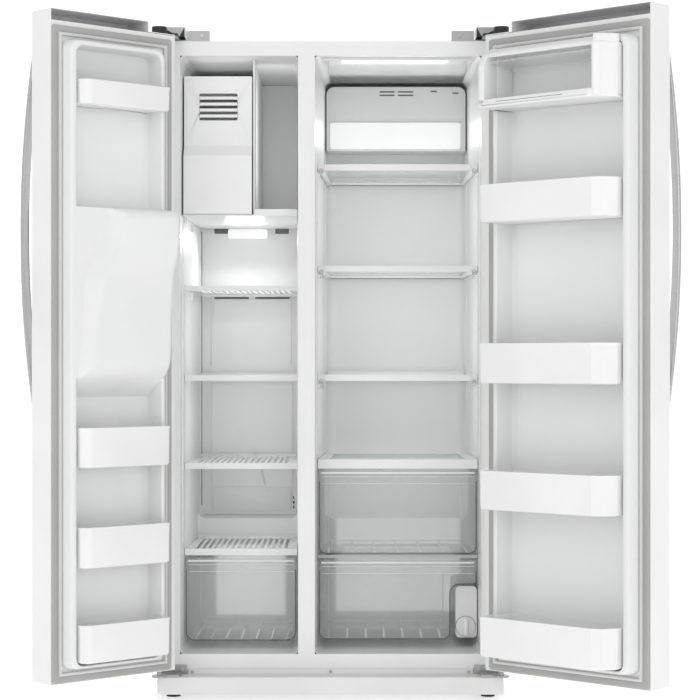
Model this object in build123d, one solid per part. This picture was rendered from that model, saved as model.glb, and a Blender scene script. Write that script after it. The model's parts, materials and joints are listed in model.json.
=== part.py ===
from build123d import *
import os

# Side by side refrigerator with both doors standing open.
# Frame: origin on the floor under the middle of the cabinet, +X to the right of
# someone facing the front, the front faces -Y, +Z up. Millimetres.

# --- cabinet -------------------------------------------------------------------
WIDTH = 912.0
DEPTH = 720.0
CABINET_TOP = 1739.0
CABINET_BOTTOM = 62.0
SHEET = 1.5
SIDE = WIDTH / 2
FRONT = -DEPTH / 2
BACK = DEPTH / 2
FACE_BACK = FRONT + SHEET
BAY_BOTTOM = 115.0
BAY_TOP = 1700.0
STEP_TOP = 440.0
STEP_DEPTH = 495.0
LINER = 2.5
MACHINE_FRONT = 152.0
MACHINE_TOP = 430.0

# Each bay's side walls at the front and at the back, and its depth.
FREEZER = {"front": (-399.0, -86.0), "back": (-385.0, -104.0), "depth": 655.0}
FRIDGE = {"front": (-42.0, 400.0), "back": (-16.0, 388.0), "depth": 620.0}

# --- doors ---------------------------------------------------------------------
FREEZER_DOOR_W = 389.5
FRIDGE_DOOR_W = 517.5
DOOR_THICK = 88.0
DOOR_BOTTOM = 88.6
DOOR_TOP = 1765.4
DOOR_GAP = 12.0
DOOR_IN = FRONT - DOOR_GAP
DOOR_OUT = DOOR_IN - DOOR_THICK
DOOR_SHELL = 2.0
OPEN_ANGLE = 137.0
PIVOT_IN = 8.5
PIVOT_FWD = 55.0
PIVOT_X = SIDE - PIVOT_IN
PIVOT_Y = DOOR_IN - PIVOT_FWD
PIN_R = 4.0
PIN_HOLE_R = 4.05
NOTCH_LENGTH = 85.0
GASKET_T = DOOR_GAP - 0.4
GASKET_Z = (92.0, 1724.0)
GASKET_W = 25.0
GASKET_FREE = 3.0
GASKET_HINGE = 15.0
DYKE_Z = (125.0, 1690.0)
DYKE_HINGE = 60.0
DYKE_FREE = 30.0
DYKE_WALL_HINGE = 75.0
DYKE_WALL_FREE = 52.0
RECESS_P = -15.0
FREEZER_DYKE_P = 40.0
FRIDGE_DYKE_P = 46.0
FREEZER_BIN_P = 64.0
FRIDGE_BIN_P = 106.0
RECESS_R = 14.0
DYKE_LEAN = 4.0
RECESS_LEAN = -1.0
FREEZER_BINS_Z = [(1528.0, 1590.0), (625.0, 725.0), (376.0, 478.0), (140.0, 236.0)]
FRIDGE_BINS_Z = [(1242.0, 1339.0), (834.0, 936.0), (513.0, 613.0), (140.0, 242.0)]
FREEZER_POCKETS_Z = [(134.0, 848.0), (1278.0, 1674.0)]
FRIDGE_POCKETS_Z = [(134.0, 1674.0)]
DAIRY_Z = (1532.0, 1667.5)
DAIRY_TOP = 1688.0
DAIRY_PIVOT_P = 95.0
DAIRY_PIVOT_Z = 1648.0
DAIRY_PIN_R = 2.5
DAIRY_FLAP = 92.0

# --- feet and base ---------------------------------------------------------------
FOOT_X = 418.0
FOOT_Y = -335.0
FOOT_R = 19.0
STEM_R = 5.0
ROLLER_R = 25.0
ROLLER_X = 400.0
ROLLER_Y = 300.0

os.makedirs("parts", exist_ok=True)


# --- small builders ----------------------------------------------------------------
def block(x0, x1, y0, y1, z0, z1):
    """A box between two corners."""
    middle = Pos((x0 + x1) / 2, (y0 + y1) / 2, (z0 + z1) / 2)
    return middle * Box(abs(x1 - x0), abs(y1 - y0), abs(z1 - z0))


def slab(x0, x1, z0, z1, y0, y1, r):
    """A slab whose four corners are rounded as seen from the front."""
    plane = Plane((((x0 + x1) / 2), max(y0, y1), (z0 + z1) / 2), x_dir=(1, 0, 0), z_dir=(0, -1, 0))
    return extrude(plane * RectangleRounded(abs(x1 - x0), abs(z1 - z0), r), abs(y1 - y0))


def plan(points, z0, z1):
    """A prism on a polygon drawn in plan."""
    return extrude(Plane.XY.offset(z0) * Polygon(*points, align=None), z1 - z0, dir=(0, 0, 1))


def profile(points, x0, x1):
    """A prism on a polygon of (y, z) points, between two x values."""
    return extrude(Plane.YZ.offset(x0) * Polygon(*points, align=None), x1 - x0, dir=(1, 0, 0))


def rod(x, y, z0, z1, r):
    """An upright cylinder."""
    return Pos(x, y, (z0 + z1) / 2) * Cylinder(r, z1 - z0)


def rod_x(x0, x1, y, z, r):
    """A cylinder along X."""
    return Pos((x0 + x1) / 2, y, z) * Rot(0, 90, 0) * Cylinder(r, abs(x1 - x0))


def rod_y(x, y0, y1, z, r):
    """A cylinder along Y."""
    return Pos(x, (y0 + y1) / 2, z) * Rot(90, 0, 0) * Cylinder(r, abs(y1 - y0))


def depth_y(d):
    """The y of a plane d behind the cabinet's front."""
    return FRONT + d


def wall_x(bay, side, d):
    """The x of a bay's left (0) or right (1) wall at depth d."""
    front, back = bay["front"][side], bay["back"][side]
    return front + (back - front) * d / bay["depth"]


def bay_outline(bay, d0, d1, gap):
    """A four-sided outline that follows the bay's walls at a given gap."""
    return [
        (wall_x(bay, 0, d0) + gap, depth_y(d0)),
        (wall_x(bay, 1, d0) - gap, depth_y(d0)),
        (wall_x(bay, 1, d1) - gap, depth_y(d1)),
        (wall_x(bay, 0, d1) + gap, depth_y(d1)),
    ]


nodes = {}


def save(name, *solids):
    """Write one node; its solids stay apart."""
    shape = solids[0] if len(solids) == 1 else Compound(children=list(solids))
    nodes[name] = shape
    export_step(shape, f"parts/{name}.step")
    print(name, round(sum(s.volume for s in shape.solids()) / 1000, 1), "cm3")


# --- cabinet -------------------------------------------------------------------------
def cavity(bay, grow):
    """A bay's inside, or its outside when grown by the liner's thickness."""
    back = bay["depth"] + grow
    floor, top = BAY_BOTTOM - grow, BAY_TOP + grow
    upper = plan(bay_outline(bay, SHEET, back, -grow), STEP_TOP - grow, top)
    lower = plan(bay_outline(bay, SHEET, STEP_DEPTH + grow, -grow), floor, STEP_TOP - grow)
    return upper + lower


def bay_liner(bay):
    return cavity(bay, LINER) - cavity(bay, 0)


def outer_wrap():
    outer = block(-SIDE, SIDE, FACE_BACK, BACK - SHEET, CABINET_BOTTOM, CABINET_TOP)
    inner = block(-SIDE + SHEET, SIDE - SHEET, FRONT - 1, BACK + 1, CABINET_BOTTOM - 1, CABINET_TOP - SHEET)
    return outer - inner


def front_frame():
    face = slab(-SIDE, SIDE, 76, CABINET_TOP, FRONT, FACE_BACK, 4)
    for bay in (FREEZER, FRIDGE):
        x0, x1 = bay["front"]
        face -= slab(x0, x1, BAY_BOTTOM, BAY_TOP, FRONT - 1, FACE_BACK + 1, 2)
    return face


def foam_insulation():
    body = block(-SIDE + SHEET, SIDE - SHEET, FACE_BACK, BACK - SHEET, CABINET_BOTTOM, CABINET_TOP - SHEET)
    body -= cavity(FREEZER, LINER)
    body -= cavity(FRIDGE, LINER)
    return body - block(-SIDE, SIDE, MACHINE_FRONT, BACK + 1, 0, MACHINE_TOP)


def base_frame():
    plate = block(-SIDE + 2, SIDE - 2, FRONT + 3, BACK - 2, 59.5, CABINET_BOTTOM)
    for s in (-1, 1):
        plate += block(s * (FOOT_X - 24), s * (FOOT_X + 24), FRONT + 4, FRONT + 50, 36, 59.5)
        plate += block(s * (SIDE - 6), s * (SIDE - 2), FRONT + 3, BACK - 2, 36, 59.5)
        for cheek in (ROLLER_X - 19, ROLLER_X + 15):
            plate += block(s * cheek, s * (cheek + 4), ROLLER_Y - 22, ROLLER_Y + 22, 14, 59.5)
        plate -= rod(s * FOOT_X, FOOT_Y, 30, 70, STEM_R + 0.05)
        plate -= block(s * (ROLLER_X - 15), s * (ROLLER_X + 15), ROLLER_Y - 30, ROLLER_Y + 30, 40, 70)
    plate -= rod_x(-ROLLER_X - 22, ROLLER_X + 22, ROLLER_Y, ROLLER_R, 4.05)
    return plate


def base_cover():
    outer = slab(-SIDE + 2, SIDE - 2, 17, 62, FRONT - 60, FRONT - 2, 8)
    return outer - block(-SIDE + 5, SIDE - 5, FRONT - 57, FRONT, 14, 59)


def rear_panel():
    return block(-SIDE + 1, SIDE - 1, BACK - SHEET, BACK, MACHINE_TOP + 2, CABINET_TOP - 2)


def machine_cover():
    cover = block(-SIDE + 1, SIDE - 1, BACK - SHEET, BACK, CABINET_BOTTOM + 2, MACHINE_TOP)
    for row in range(9):
        for column in range(10):
            x, z = -370 + column * 48, 110 + row * 32
            cover -= slab(x - 18, x + 18, z, z + 8, BACK - 3, BACK + 1, 3.9)
    cover -= slab(VALVE_X - 30, VALVE_X + 30, 110, 170, BACK - 3, BACK + 1, 6)
    return cover - rod_y(GLAND_X, BACK - 4, BACK + 2, GLAND_Z, 9)


# --- machine compartment -----------------------------------------------------------------
VALVE_X = 300.0
GLAND_X = -300.0
GLAND_Z = 85.0
FAN_X = 196.0
FAN_Y = 250.0
FAN_Z = 176.0


def compressor():
    x, y = -280.0, 255.0
    can = rod(x, y, 84, 250, 82)
    can = fillet(can.edges().filter_by(GeomType.CIRCLE), 34)
    hollow = rod(x, y, 88, 246, 78)
    hollow = fillet(hollow.edges().filter_by(GeomType.CIRCLE), 30)
    can -= hollow
    feet = block(x - 95, x + 95, y - 40, y + 40, 78, 84.5)
    for i in (-1, 1):
        for j in (-1, 1):
            feet += rod(x + i * 80, y + j * 30, CABINET_BOTTOM, 79, 11)
    return can + feet


def condenser():
    """Finned tube block with an end plate at each side."""
    block_part = None
    for i in range(17):
        fin = block(-130 + i * 15, -129 + i * 15, 170, 330, 70, 280)
        block_part = fin if block_part is None else block_part + fin
    for row in range(5):
        for column in range(3):
            block_part += rod_x(-132, 113, 195 + column * 55, 92 + row * 42, 5)
    for x in (-133, 111):
        block_part += block(x, x + 2, 166, 334, CABINET_BOTTOM, 284)
    return block_part


def fan_shroud():
    ring = rod_x(FAN_X - 30, FAN_X + 10, FAN_Y, FAN_Z, 92) - rod_x(FAN_X - 31, FAN_X + 11, FAN_Y, FAN_Z, 86)
    motor = rod_x(FAN_X + 14, FAN_X + 44, FAN_Y, FAN_Z, 24)
    shaft = rod_x(FAN_X - 22, FAN_X + 15, FAN_Y, FAN_Z, 3)
    strut = block(FAN_X + 4, FAN_X + 18, FAN_Y - 90, FAN_Y + 90, FAN_Z - 7, FAN_Z + 7)
    stand = block(FAN_X - 26, FAN_X + 6, FAN_Y - 60, FAN_Y + 60, CABINET_BOTTOM, FAN_Z - 68)
    stand -= rod_x(FAN_X - 31, FAN_X + 11, FAN_Y, FAN_Z, 86)
    return ring + motor + shaft + strut + stand


def condenser_fan():
    hub = rod_x(FAN_X - 20, FAN_X + 1, FAN_Y, FAN_Z, 22)
    for i in range(5):
        blade = Pos(FAN_X - 10, FAN_Y, FAN_Z + 51) * Rot(0, 0, 32) * Box(2.0, 44, 62)
        hub += Pos(FAN_X, FAN_Y, FAN_Z) * Rot(72 * i, 0, 0) * Pos(-FAN_X, -FAN_Y, -FAN_Z) * blade
    return hub - rod_x(FAN_X - 23, FAN_X + 4, FAN_Y, FAN_Z, 3.05)


def water_valve():
    body = block(VALVE_X - 24, VALVE_X + 24, 285, 325, 118, 162)
    body += rod(VALVE_X - 10, 305, 160, 192, 16)
    body += block(VALVE_X - 20, VALVE_X + 20, 290, 320, CABINET_BOTTOM, 119)
    thread = rod_y(VALVE_X, 324, BACK - 1, 140, 5.55)
    return body + thread + rod_y(VALVE_X, 324, 336, 140, 11)


def cord_gland():
    """The ring in the machine cover that the supply cord passes through."""
    inside = BACK - SHEET - 0.2
    ring = rod_y(GLAND_X, inside - 4, inside, GLAND_Z, 13) + rod_y(GLAND_X, inside - 14, BACK, GLAND_Z, 8.8)
    return ring - rod_y(GLAND_X, inside - 15, BACK + 1, GLAND_Z, 4.5)


# --- freezer bay ---------------------------------------------------------------------------
COVER_D = 585.0


def evaporator_cover():
    sheet = plan(bay_outline(FREEZER, COVER_D, COVER_D + 3, 1.0), STEP_TOP + 1.0, BAY_TOP - 1.0)
    y0, y1 = depth_y(COVER_D) - 1, depth_y(COVER_D) + 4
    for x0, x1 in ((-347, -245), (-227, -125)):
        sheet -= slab(x0, x1, 1073, 1080, y0, y1, 3)
    for x0, x1 in ((-346, -306), (-168, -128)):
        for row in range(2):
            sheet -= slab(x0, x1, 1266 + row * 10, 1271 + row * 10, y0, y1, 2)
    for row in range(3):
        sheet -= slab(-190, -112, 460 + row * 14, 467 + row * 14, y0, y1, 3)
    return sheet


def evaporator():
    coil = None
    for i in range(15):
        fin = block(-360 + i * 17, -359 + i * 17, depth_y(598), depth_y(645), 640, 1000)
        coil = fin if coil is None else coil + fin
    for row in range(9):
        for column in (610, 633):
            coil += rod_x(-366, -115, depth_y(column), 660 + row * 40, 4.5)
    for x in (-368, -117):
        coil += block(x, x + 2, depth_y(596), depth_y(652), 630, 1010)
    return coil


def freezer_shelf(z0, z1):
    """A shelf with a deep front trim, a thin deck and side rails."""
    back = 574.0 if z0 > STEP_TOP else 486.0
    deck = plan(bay_outline(FREEZER, 108, back, 2.0), z1 - 6, z1 - 2)
    trim = plan(bay_outline(FREEZER, 102, 112, 2.0), z0, z1)
    rear = plan(bay_outline(FREEZER, back - 8, back, 2.0), z0 + 2, z1 + 4)
    shelf = deck + trim + rear
    y0, y1 = depth_y(130), depth_y(back - 24)
    x0, x1 = -372.0, -116.0
    pitch = (x1 - x0) / 16
    for i in range(16):
        x = x0 + pitch * (i + 0.5)
        shelf -= block(x - 4.5, x + 4.5, y0, y1, z1 - 8, z1)
    return shelf


FREEZER_SHELVES_Z = [(1081.0, 1094.0), (838.0, 853.0), (600.0, 616.0), (367.0, 385.0)]
ICE_Z = (1284.0, 1654.0)
PARTITION_X = -208.0


def ice_shelf():
    """The tray under the ice bucket, the upright partition beside it and the right-hand ledge."""
    tray = plan(bay_outline(FREEZER, 46, 574, 2.0), 1278.5, 1283.0)
    tray += plan(
        [
            (PARTITION_X + 4, depth_y(44)),
            (wall_x(FREEZER, 1, 44) - 2, depth_y(44)),
            (wall_x(FREEZER, 1, 60) - 2, depth_y(60)),
            (PARTITION_X + 4, depth_y(60)),
        ],
        1281.5,
        1297.0,
    )
    return tray + block(PARTITION_X, PARTITION_X + 4, depth_y(58), depth_y(574), 1282, BAY_TOP - 2)


def ice_maker():
    body = block(-386, PARTITION_X - 2, depth_y(420), depth_y(572), 1440, 1660)
    body -= block(-360, PARTITION_X - 30, depth_y(440), depth_y(560), 1600, 1661)
    return body + block(-300, -270, depth_y(404), depth_y(421), 1330, 1450) + block(
        -386, PARTITION_X - 2, depth_y(420), depth_y(572), 1284, 1350
    )


def bucket_space(inset):
    """The plan that the bucket fills, in from the drafted wall and the partition."""
    d0, d1 = 43.0, 398.0
    left = [wall_x(FREEZER, 0, d) + 4.5 + inset for d in (d0, d1)]
    right = PARTITION_X - 3 - inset
    y0, y1 = depth_y(d0), depth_y(d1)
    return plan([(left[0], y0), (right, y0), (right, y1), (left[1], y1)], ICE_Z[0] - 5, ICE_Z[1] + 5)


def ice_bucket():
    """Bucket with a front that swells forward below, open at the top and hollow."""
    x0, x1 = -400.0, PARTITION_X
    z0, z1 = ICE_Z
    side = [(62, z1), (62, 1468), (43, 1440), (43, z0), (398, z0), (398, 1600), (120, 1600), (120, z1)]
    body = profile([(depth_y(d), z) for d, z in side], x0, x1) & bucket_space(0)
    inside = [
        (66, z1 - 4),
        (66, 1469),
        (47, 1442),
        (47, z0 + 4),
        (394, z0 + 4),
        (394, 1601),
        (116, 1601),
        (116, z1 - 4),
    ]
    body -= profile([(depth_y(d), z) for d, z in inside], x0, x1) & bucket_space(3)
    for i in range(5):
        z = 1604 - 16 * i
        body -= slab(-352, -250, z - 4, z + 4, depth_y(60), depth_y(68), 3.9)
    return body - block(-335, -270, depth_y(60), depth_y(105), z0 - 1, z0 + 5)


def freezer_drawer():
    return drawer(FREEZER, 100.0, 470.0, 137.0, 360.0, 5.0, 24.0)


def drawer(bay, d0, d1, z0, z1, gap, corner):
    """A tapered tub, open at the top, with a rolled rim and a thicker front."""
    x0, x1 = wall_x(bay, 0, d0) + gap, wall_x(bay, 1, d0) - gap
    inset = abs(wall_x(bay, 0, d1) - wall_x(bay, 0, d0)) + 3
    inset_right = abs(wall_x(bay, 1, d1) - wall_x(bay, 1, d0)) + 3
    outline = [(x0, depth_y(d0)), (x1, depth_y(d0)), (x1 - inset_right, depth_y(d1)), (x0 + inset, depth_y(d1))]
    front_view = slab(x0, x1, z0, z1 + corner * 2, depth_y(d0) - 1, depth_y(d1) + 1, corner)
    tub = plan(outline, z0, z1) & front_view
    inner = [
        (x0 + 3, depth_y(d0) + 4),
        (x1 - 3, depth_y(d0) + 4),
        (x1 - inset_right - 3, depth_y(d1) - 3),
        (x0 + inset + 3, depth_y(d1) - 3),
    ]
    inner_view = slab(x0 + 3, x1 - 3, z0 + 3, z1 + corner * 2, depth_y(d0), depth_y(d1), corner - 3)
    tub -= plan(inner, z0 + 3, z1 + 1) & inner_view
    rim = slab(x0 + corner, x1 - corner, z1 - 12, z1, depth_y(d0) - 5, depth_y(d0) + 1, 4)
    return tub + rim


# --- fridge bay ------------------------------------------------------------------------------
DUCT_D = 515.0
LAMP_X = (-7.0, 372.0)
LAMP_Z = (1504.0, 1582.0)
DUCT_TOP = 1687.0


def fridge_duct_cover():
    outer = plan(bay_outline(FRIDGE, DUCT_D, FRIDGE["depth"] - 1, 2.5), 1500.0, DUCT_TOP)
    inner = plan(bay_outline(FRIDGE, DUCT_D + 3, FRIDGE["depth"] + 1, 5.5), 1503.0, DUCT_TOP - 3)
    x0, x1 = wall_x(FRIDGE, 0, DUCT_D) + 2.5, wall_x(FRIDGE, 1, DUCT_D) - 2.5
    y0, y1 = depth_y(DUCT_D - 1), depth_y(FRIDGE["depth"])
    cover = outer & slab(x0, x1, 1440, DUCT_TOP, y0, y1, 24)
    cover -= inner & slab(x0 + 3, x1 - 3, 1440, DUCT_TOP - 3, y0, y1 + 2, 21)
    y0, y1 = depth_y(DUCT_D) - 1, depth_y(DUCT_D) + 4
    cover -= slab(LAMP_X[0], LAMP_X[1], LAMP_Z[0], LAMP_Z[1], y0, y1, 8)
    for z in (1672, 1662):
        for x0, x1 in ((137, 181), (190, 235)):
            cover -= slab(x0, x1, z - 2.2, z + 2.2, y0, y1, 2.1)
    return cover


def lamp_lenses():
    y0 = depth_y(DUCT_D)
    fridge = slab(LAMP_X[0] + 0.5, LAMP_X[1] - 0.5, LAMP_Z[0] + 0.5, LAMP_Z[1] - 0.5, y0 - 3, y0 + 3, 7.5)
    freezer = slab(-305, -190, 1250, 1277, depth_y(COVER_D) - 22, depth_y(COVER_D) - 0.1, 6)
    return fridge, freezer


def fridge_shelf(z0, z1):
    """A frame that carries a pane of glass: front trim, rear bar and two side rails."""
    trim = plan(bay_outline(FRIDGE, 104, 116, 2.5), z0, z1)
    rear = plan(bay_outline(FRIDGE, 588, 598, 2.5), z0, z1 + 6)
    outer = plan(bay_outline(FRIDGE, 110, 594, 2.5), z0, z0 + 8)
    inner = plan(bay_outline(FRIDGE, 109, 595, 14.5), z0 - 1, z0 + 9)
    return trim + rear + (outer - inner)


def shelf_glass(z0, z1):
    """The pane, resting on the side rails between the front trim and the rear bar."""
    return plan(bay_outline(FRIDGE, 116.3, 587.7, 4.0), z0 + 8, z0 + 12)


SHELVES_Z = [(1406.0, 1422.0), (1133.0, 1148.0), (838.0, 855.0)]
CRISPER_Z = (601.0, 626.0)


def crisper_cover():
    """The cover over the crispers: deep rounded front trim, tapering deck, and rails for both drawers."""
    z0, z1 = CRISPER_Z
    trim = plan(bay_outline(FRIDGE, 98, 112, 2.5), z0, z1)
    deck_outer = plan(bay_outline(FRIDGE, 110, 480, 2.5), z1 - 12, z1)
    deck_inner = plan(bay_outline(FRIDGE, 125, 465, 30), z1 - 13, z1 + 1)
    return trim + (deck_outer - deck_inner)


def crisper_glass():
    z1 = CRISPER_Z[1]
    return plan(bay_outline(FRIDGE, 125.3, 464.7, 30.3), z1 - 5, z1 - 1)


def crisper_shelf():
    """The divider between the two crispers, carried by the walls."""
    deck = plan(bay_outline(FRIDGE, 110, 480, 2.5), 360.0, 366.0)
    deck -= plan(bay_outline(FRIDGE, 150, 440, 60), 359.0, 367.0)
    return deck + plan(bay_outline(FRIDGE, 102, 112, 2.5), 359.0, 368.0)


def crisper_upper():
    return drawer(FRIDGE, 100.0, 470.0, 371.0, 597.0, 5.0, 20.0)


def crisper_lower():
    """As the upper one, with its lower right side set in to clear the water filter."""
    z0, z1 = 140.0, 355.0
    x_in, z_in = 325.0, 287.0
    tub = drawer(FRIDGE, 100.0, 470.0, z0, z1, 5.0, 20.0)
    y0, y1 = depth_y(95), depth_y(475)
    tub -= block(x_in, 420, y0, y1, z0 - 5, z_in)
    wall = block(x_in - 3, x_in, depth_y(100), depth_y(470), z0 + 12, z_in + 3)
    x_right = wall_x(FRIDGE, 1, 470) - 11
    ledge = block(x_in - 3, x_right, depth_y(100), depth_y(470), z_in, z_in + 3)
    front = slab(x_in - 30, x_in, z0, z_in + 3, depth_y(100), depth_y(104), 3)
    rear = slab(x_in - 30, x_in, z0, z_in + 3, depth_y(467), depth_y(470), 3)
    floor = block(x_in - 30, x_in - 1, depth_y(100), depth_y(470), z0, z0 + 3)
    return tub + wall + ledge + front + rear + floor + block(x_in - 3, x_in, depth_y(100), depth_y(470), z0, z0 + 14)


FILTER_X = 364.0
FILTER_Z = 174.0


def filter_housing():
    body = slab(337, 390, 143, 282, depth_y(120), depth_y(420), 12)
    body += slab(360, 395, 143, 282, depth_y(120), depth_y(200), 12)
    body -= rod_y(FILTER_X, depth_y(119), depth_y(380), FILTER_Z, 26.3)
    return body


def filter_cartridge():
    """The twist-in cartridge, with a raised grip across its face."""
    can = rod_y(FILTER_X, depth_y(112), depth_y(370), FILTER_Z, 26.0)
    return can + block(FILTER_X - 5, FILTER_X + 5, depth_y(100), depth_y(113), FILTER_Z - 21, FILTER_Z + 21)


# --- hinges and fasteners -------------------------------------------------------------------------
def upper_hinge(s):
    plate = block(s * 320, s * 455, -356, -270, CABINET_TOP, CABINET_TOP + 3)
    flange = block(s * 320, s * 380, -361.6, -358.6, CABINET_TOP, CABINET_TOP + 27)
    flange += block(s * 320, s * 380, -361.6, -355, CABINET_TOP, CABINET_TOP + 3)
    arm = block(s * 400, s * 455, -427, -300, CABINET_TOP + 3, CABINET_TOP + 10)
    arm += rod(s * PIVOT_X, PIVOT_Y, CABINET_TOP + 3, CABINET_TOP + 10, 20)
    cover = block(s * 386, s * 447, -372, -282, CABINET_TOP + 10, CABINET_TOP + 35)
    cap = rod(s * PIVOT_X, PIVOT_Y, CABINET_TOP + 10, CABINET_TOP + 26, 20)
    pin = rod(s * PIVOT_X, PIVOT_Y, CABINET_TOP - 36, CABINET_TOP + 5, PIN_R)
    return plate + flange + arm + cover + cap + pin


def lower_hinge(s):
    flange = block(s * 380, s * 455, -363.4, -360.2, 62.6, 87)
    arm = block(s * 395, s * 455, -427, -360.2, 64, 69)
    arm += rod(s * PIVOT_X, PIVOT_Y, 64, 69, 20)
    pin = rod(s * PIVOT_X, PIVOT_Y, 66, 112, PIN_R)
    washer = rod(s * PIVOT_X, PIVOT_Y, 69, 88.2, 7)
    return flange + arm + pin + washer


def screw(x, y, z, r, towards_front):
    """A pan-head screw, its head towards the front or standing up."""
    if towards_front:
        head = rod_y(x, y, y - 2.4, z, r)
        return fillet(head.faces().sort_by(Axis.Y)[0].edges(), 0.8)
    head = rod(x, y, z, z + 2.4, r)
    return fillet(head.faces().sort_by(Axis.Z)[-1].edges(), 0.8)


def cabinet_screws():
    found = []
    for s in (-1, 1):
        found.append(screw(s * 340, -361.6, CABINET_TOP + 14, 6, True))
        found.append(screw(s * 335, -300, CABINET_TOP + 3, 6, False))
        found.append(screw(s * 368, -300, CABINET_TOP + 3, 6, False))
        found.append(screw(s * 392, -363.4, 75, 4.5, True))
        found.append(screw(s * 366, FRONT - 3, 69, 4.5, True))
    found.append(screw(0, FRONT - 3, 69, 4.5, True))
    return found


def toe_rail():
    """The recessed steel rail between the face frame and the base cover."""
    return block(-376, 376, FRONT - 3, FRONT + 1, 62.4, 75.6)


def foot(s):
    pad = rod(s * FOOT_X, FOOT_Y, 0, 12, FOOT_R)
    pad = fillet(pad.faces().sort_by(Axis.Z)[0].edges(), 2)
    return pad + rod(s * FOOT_X, FOOT_Y, 11, CABINET_BOTTOM - 0.5, STEM_R)


def rear_rollers():
    """Two wheels on one axle."""
    axle = rod_x(-ROLLER_X - 20, ROLLER_X + 20, ROLLER_Y, ROLLER_R, 4)
    for s in (-1, 1):
        wheel = rod_x(s * (ROLLER_X - 13), s * (ROLLER_X + 13), ROLLER_Y, ROLLER_R, ROLLER_R)
        axle += fillet(wheel.edges().filter_by(GeomType.CIRCLE), 2)
    return axle


# --- doors, drawn closed in right-hand form: a runs from the hinge side, p towards the cabinet ------
def dx(a):
    return SIDE - a


def py(p):
    return DOOR_IN + p


def door_shell(width):
    outer = block(dx(width), dx(0), DOOR_OUT, DOOR_IN, DOOR_BOTTOM, DOOR_TOP)
    outer = fillet(outer.edges().filter_by(Axis.Z).group_by(Axis.Y)[0], 10)
    outer = fillet(outer.faces().sort_by(Axis.Y)[0].edges(), 3)
    t = DOOR_SHELL
    shell = outer - block(dx(width - t), dx(t), DOOR_OUT + t, DOOR_IN + 1, DOOR_BOTTOM + t, DOOR_TOP - t)
    shell -= block(dx(NOTCH_LENGTH), dx(-1), DOOR_OUT - 1, DOOR_IN + 1, CABINET_TOP, DOOR_TOP + 1)
    shell += block(dx(NOTCH_LENGTH + t), dx(3), DOOR_OUT + 3, DOOR_IN, CABINET_TOP - t, CABINET_TOP)
    shell += block(dx(NOTCH_LENGTH + t), dx(NOTCH_LENGTH), DOOR_OUT + t, DOOR_IN, CABINET_TOP - t, DOOR_TOP - t / 2)
    for z0, z1 in ((CABINET_TOP - 45, CABINET_TOP - t / 2), (DOOR_BOTTOM + t / 2, DOOR_BOTTOM + 36)):
        shell += rod(PIVOT_X, PIVOT_Y, z0, z1, 8)
    shell -= rod(PIVOT_X, PIVOT_Y, CABINET_TOP - 50, CABINET_TOP + 1, PIN_HOLE_R)
    return shell - rod(PIVOT_X, PIVOT_Y, DOOR_BOTTOM - 1, DOOR_BOTTOM + 40, PIN_HOLE_R)


def taper_block(a0, a1, z0, z1, p0, p1, r, lean):
    """A slab between two depths whose sides lean inwards towards the cabinet."""
    x0, x1 = dx(a1), dx(a0)
    plane = Plane((((x0 + x1) / 2), py(p0), (z0 + z1) / 2), x_dir=(1, 0, 0), z_dir=(0, 1, 0))
    return extrude(plane * RectangleRounded(x1 - x0, z1 - z0, r), p1 - p0, taper=lean)


def recess(width, z0, z1, grow, top_p):
    """The pocket between the dyke's walls, opening wider towards the cabinet."""
    a0, a1 = DYKE_WALL_HINGE - grow, width - DYKE_WALL_FREE + grow
    return taper_block(a0, a1, z0 - grow, z1 + grow, RECESS_P - grow, top_p, RECESS_R + grow, RECESS_LEAN)


def door_liner(width, dyke_p, pockets, bulge):
    t = LINER
    edge = DOOR_SHELL + 0.3
    flange = block(dx(width - edge), dx(edge), py(-t), py(0), DOOR_BOTTOM + edge, CABINET_TOP - 3)
    a0, a1 = DYKE_HINGE, width - DYKE_FREE
    dyke = taper_block(a0, a1, DYKE_Z[0], DYKE_Z[1], -t, dyke_p, 24, DYKE_LEAN)
    hollow = taper_block(a0 + t, a1 - t, DYKE_Z[0] + t, DYKE_Z[1] - t, -t - 1, dyke_p - t, 22, DYKE_LEAN)
    liner = flange + dyke
    for z0, z1 in pockets:
        liner += recess(width, z0, z1, t, 0)
        hollow -= recess(width, z0, z1, t, dyke_p + 1)
        liner -= recess(width, z0, z1, 0, dyke_p + 1)
    if bulge:
        liner += bulge(0)
        hollow += bulge(t)
    return liner - hollow


# The dispenser's bulge: for each height, how far it stands out at the hinge side and at the edge of
# its face, where that edge is, and where the flank beyond it runs out on the dyke's level.
BULGE = [
    (801.0, -13.0, -13.2, 322.0, 334.0),
    (826.0, 20.0, 18.0, 322.0, 334.0),
    (853.0, 46.0, 43.0, 320.0, 334.0),
    (889.0, 70.0, 60.0, 311.0, 328.0),
    (914.0, 73.0, 63.0, 304.0, 320.0),
    (1016.0, 75.0, 64.0, 288.0, 316.0),
    (1106.0, 84.0, 66.0, 266.0, 308.0),
    (1168.0, 106.0, 72.0, 236.0, 270.0),
    (1231.0, 111.0, 72.0, 218.0, 238.0),
    (1256.0, 108.0, 70.0, 214.0, 236.0),
    (1268.0, 98.0, 65.0, 211.0, 235.0),
    (1273.5, 80.0, 55.0, 210.0, 234.0),
]


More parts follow.
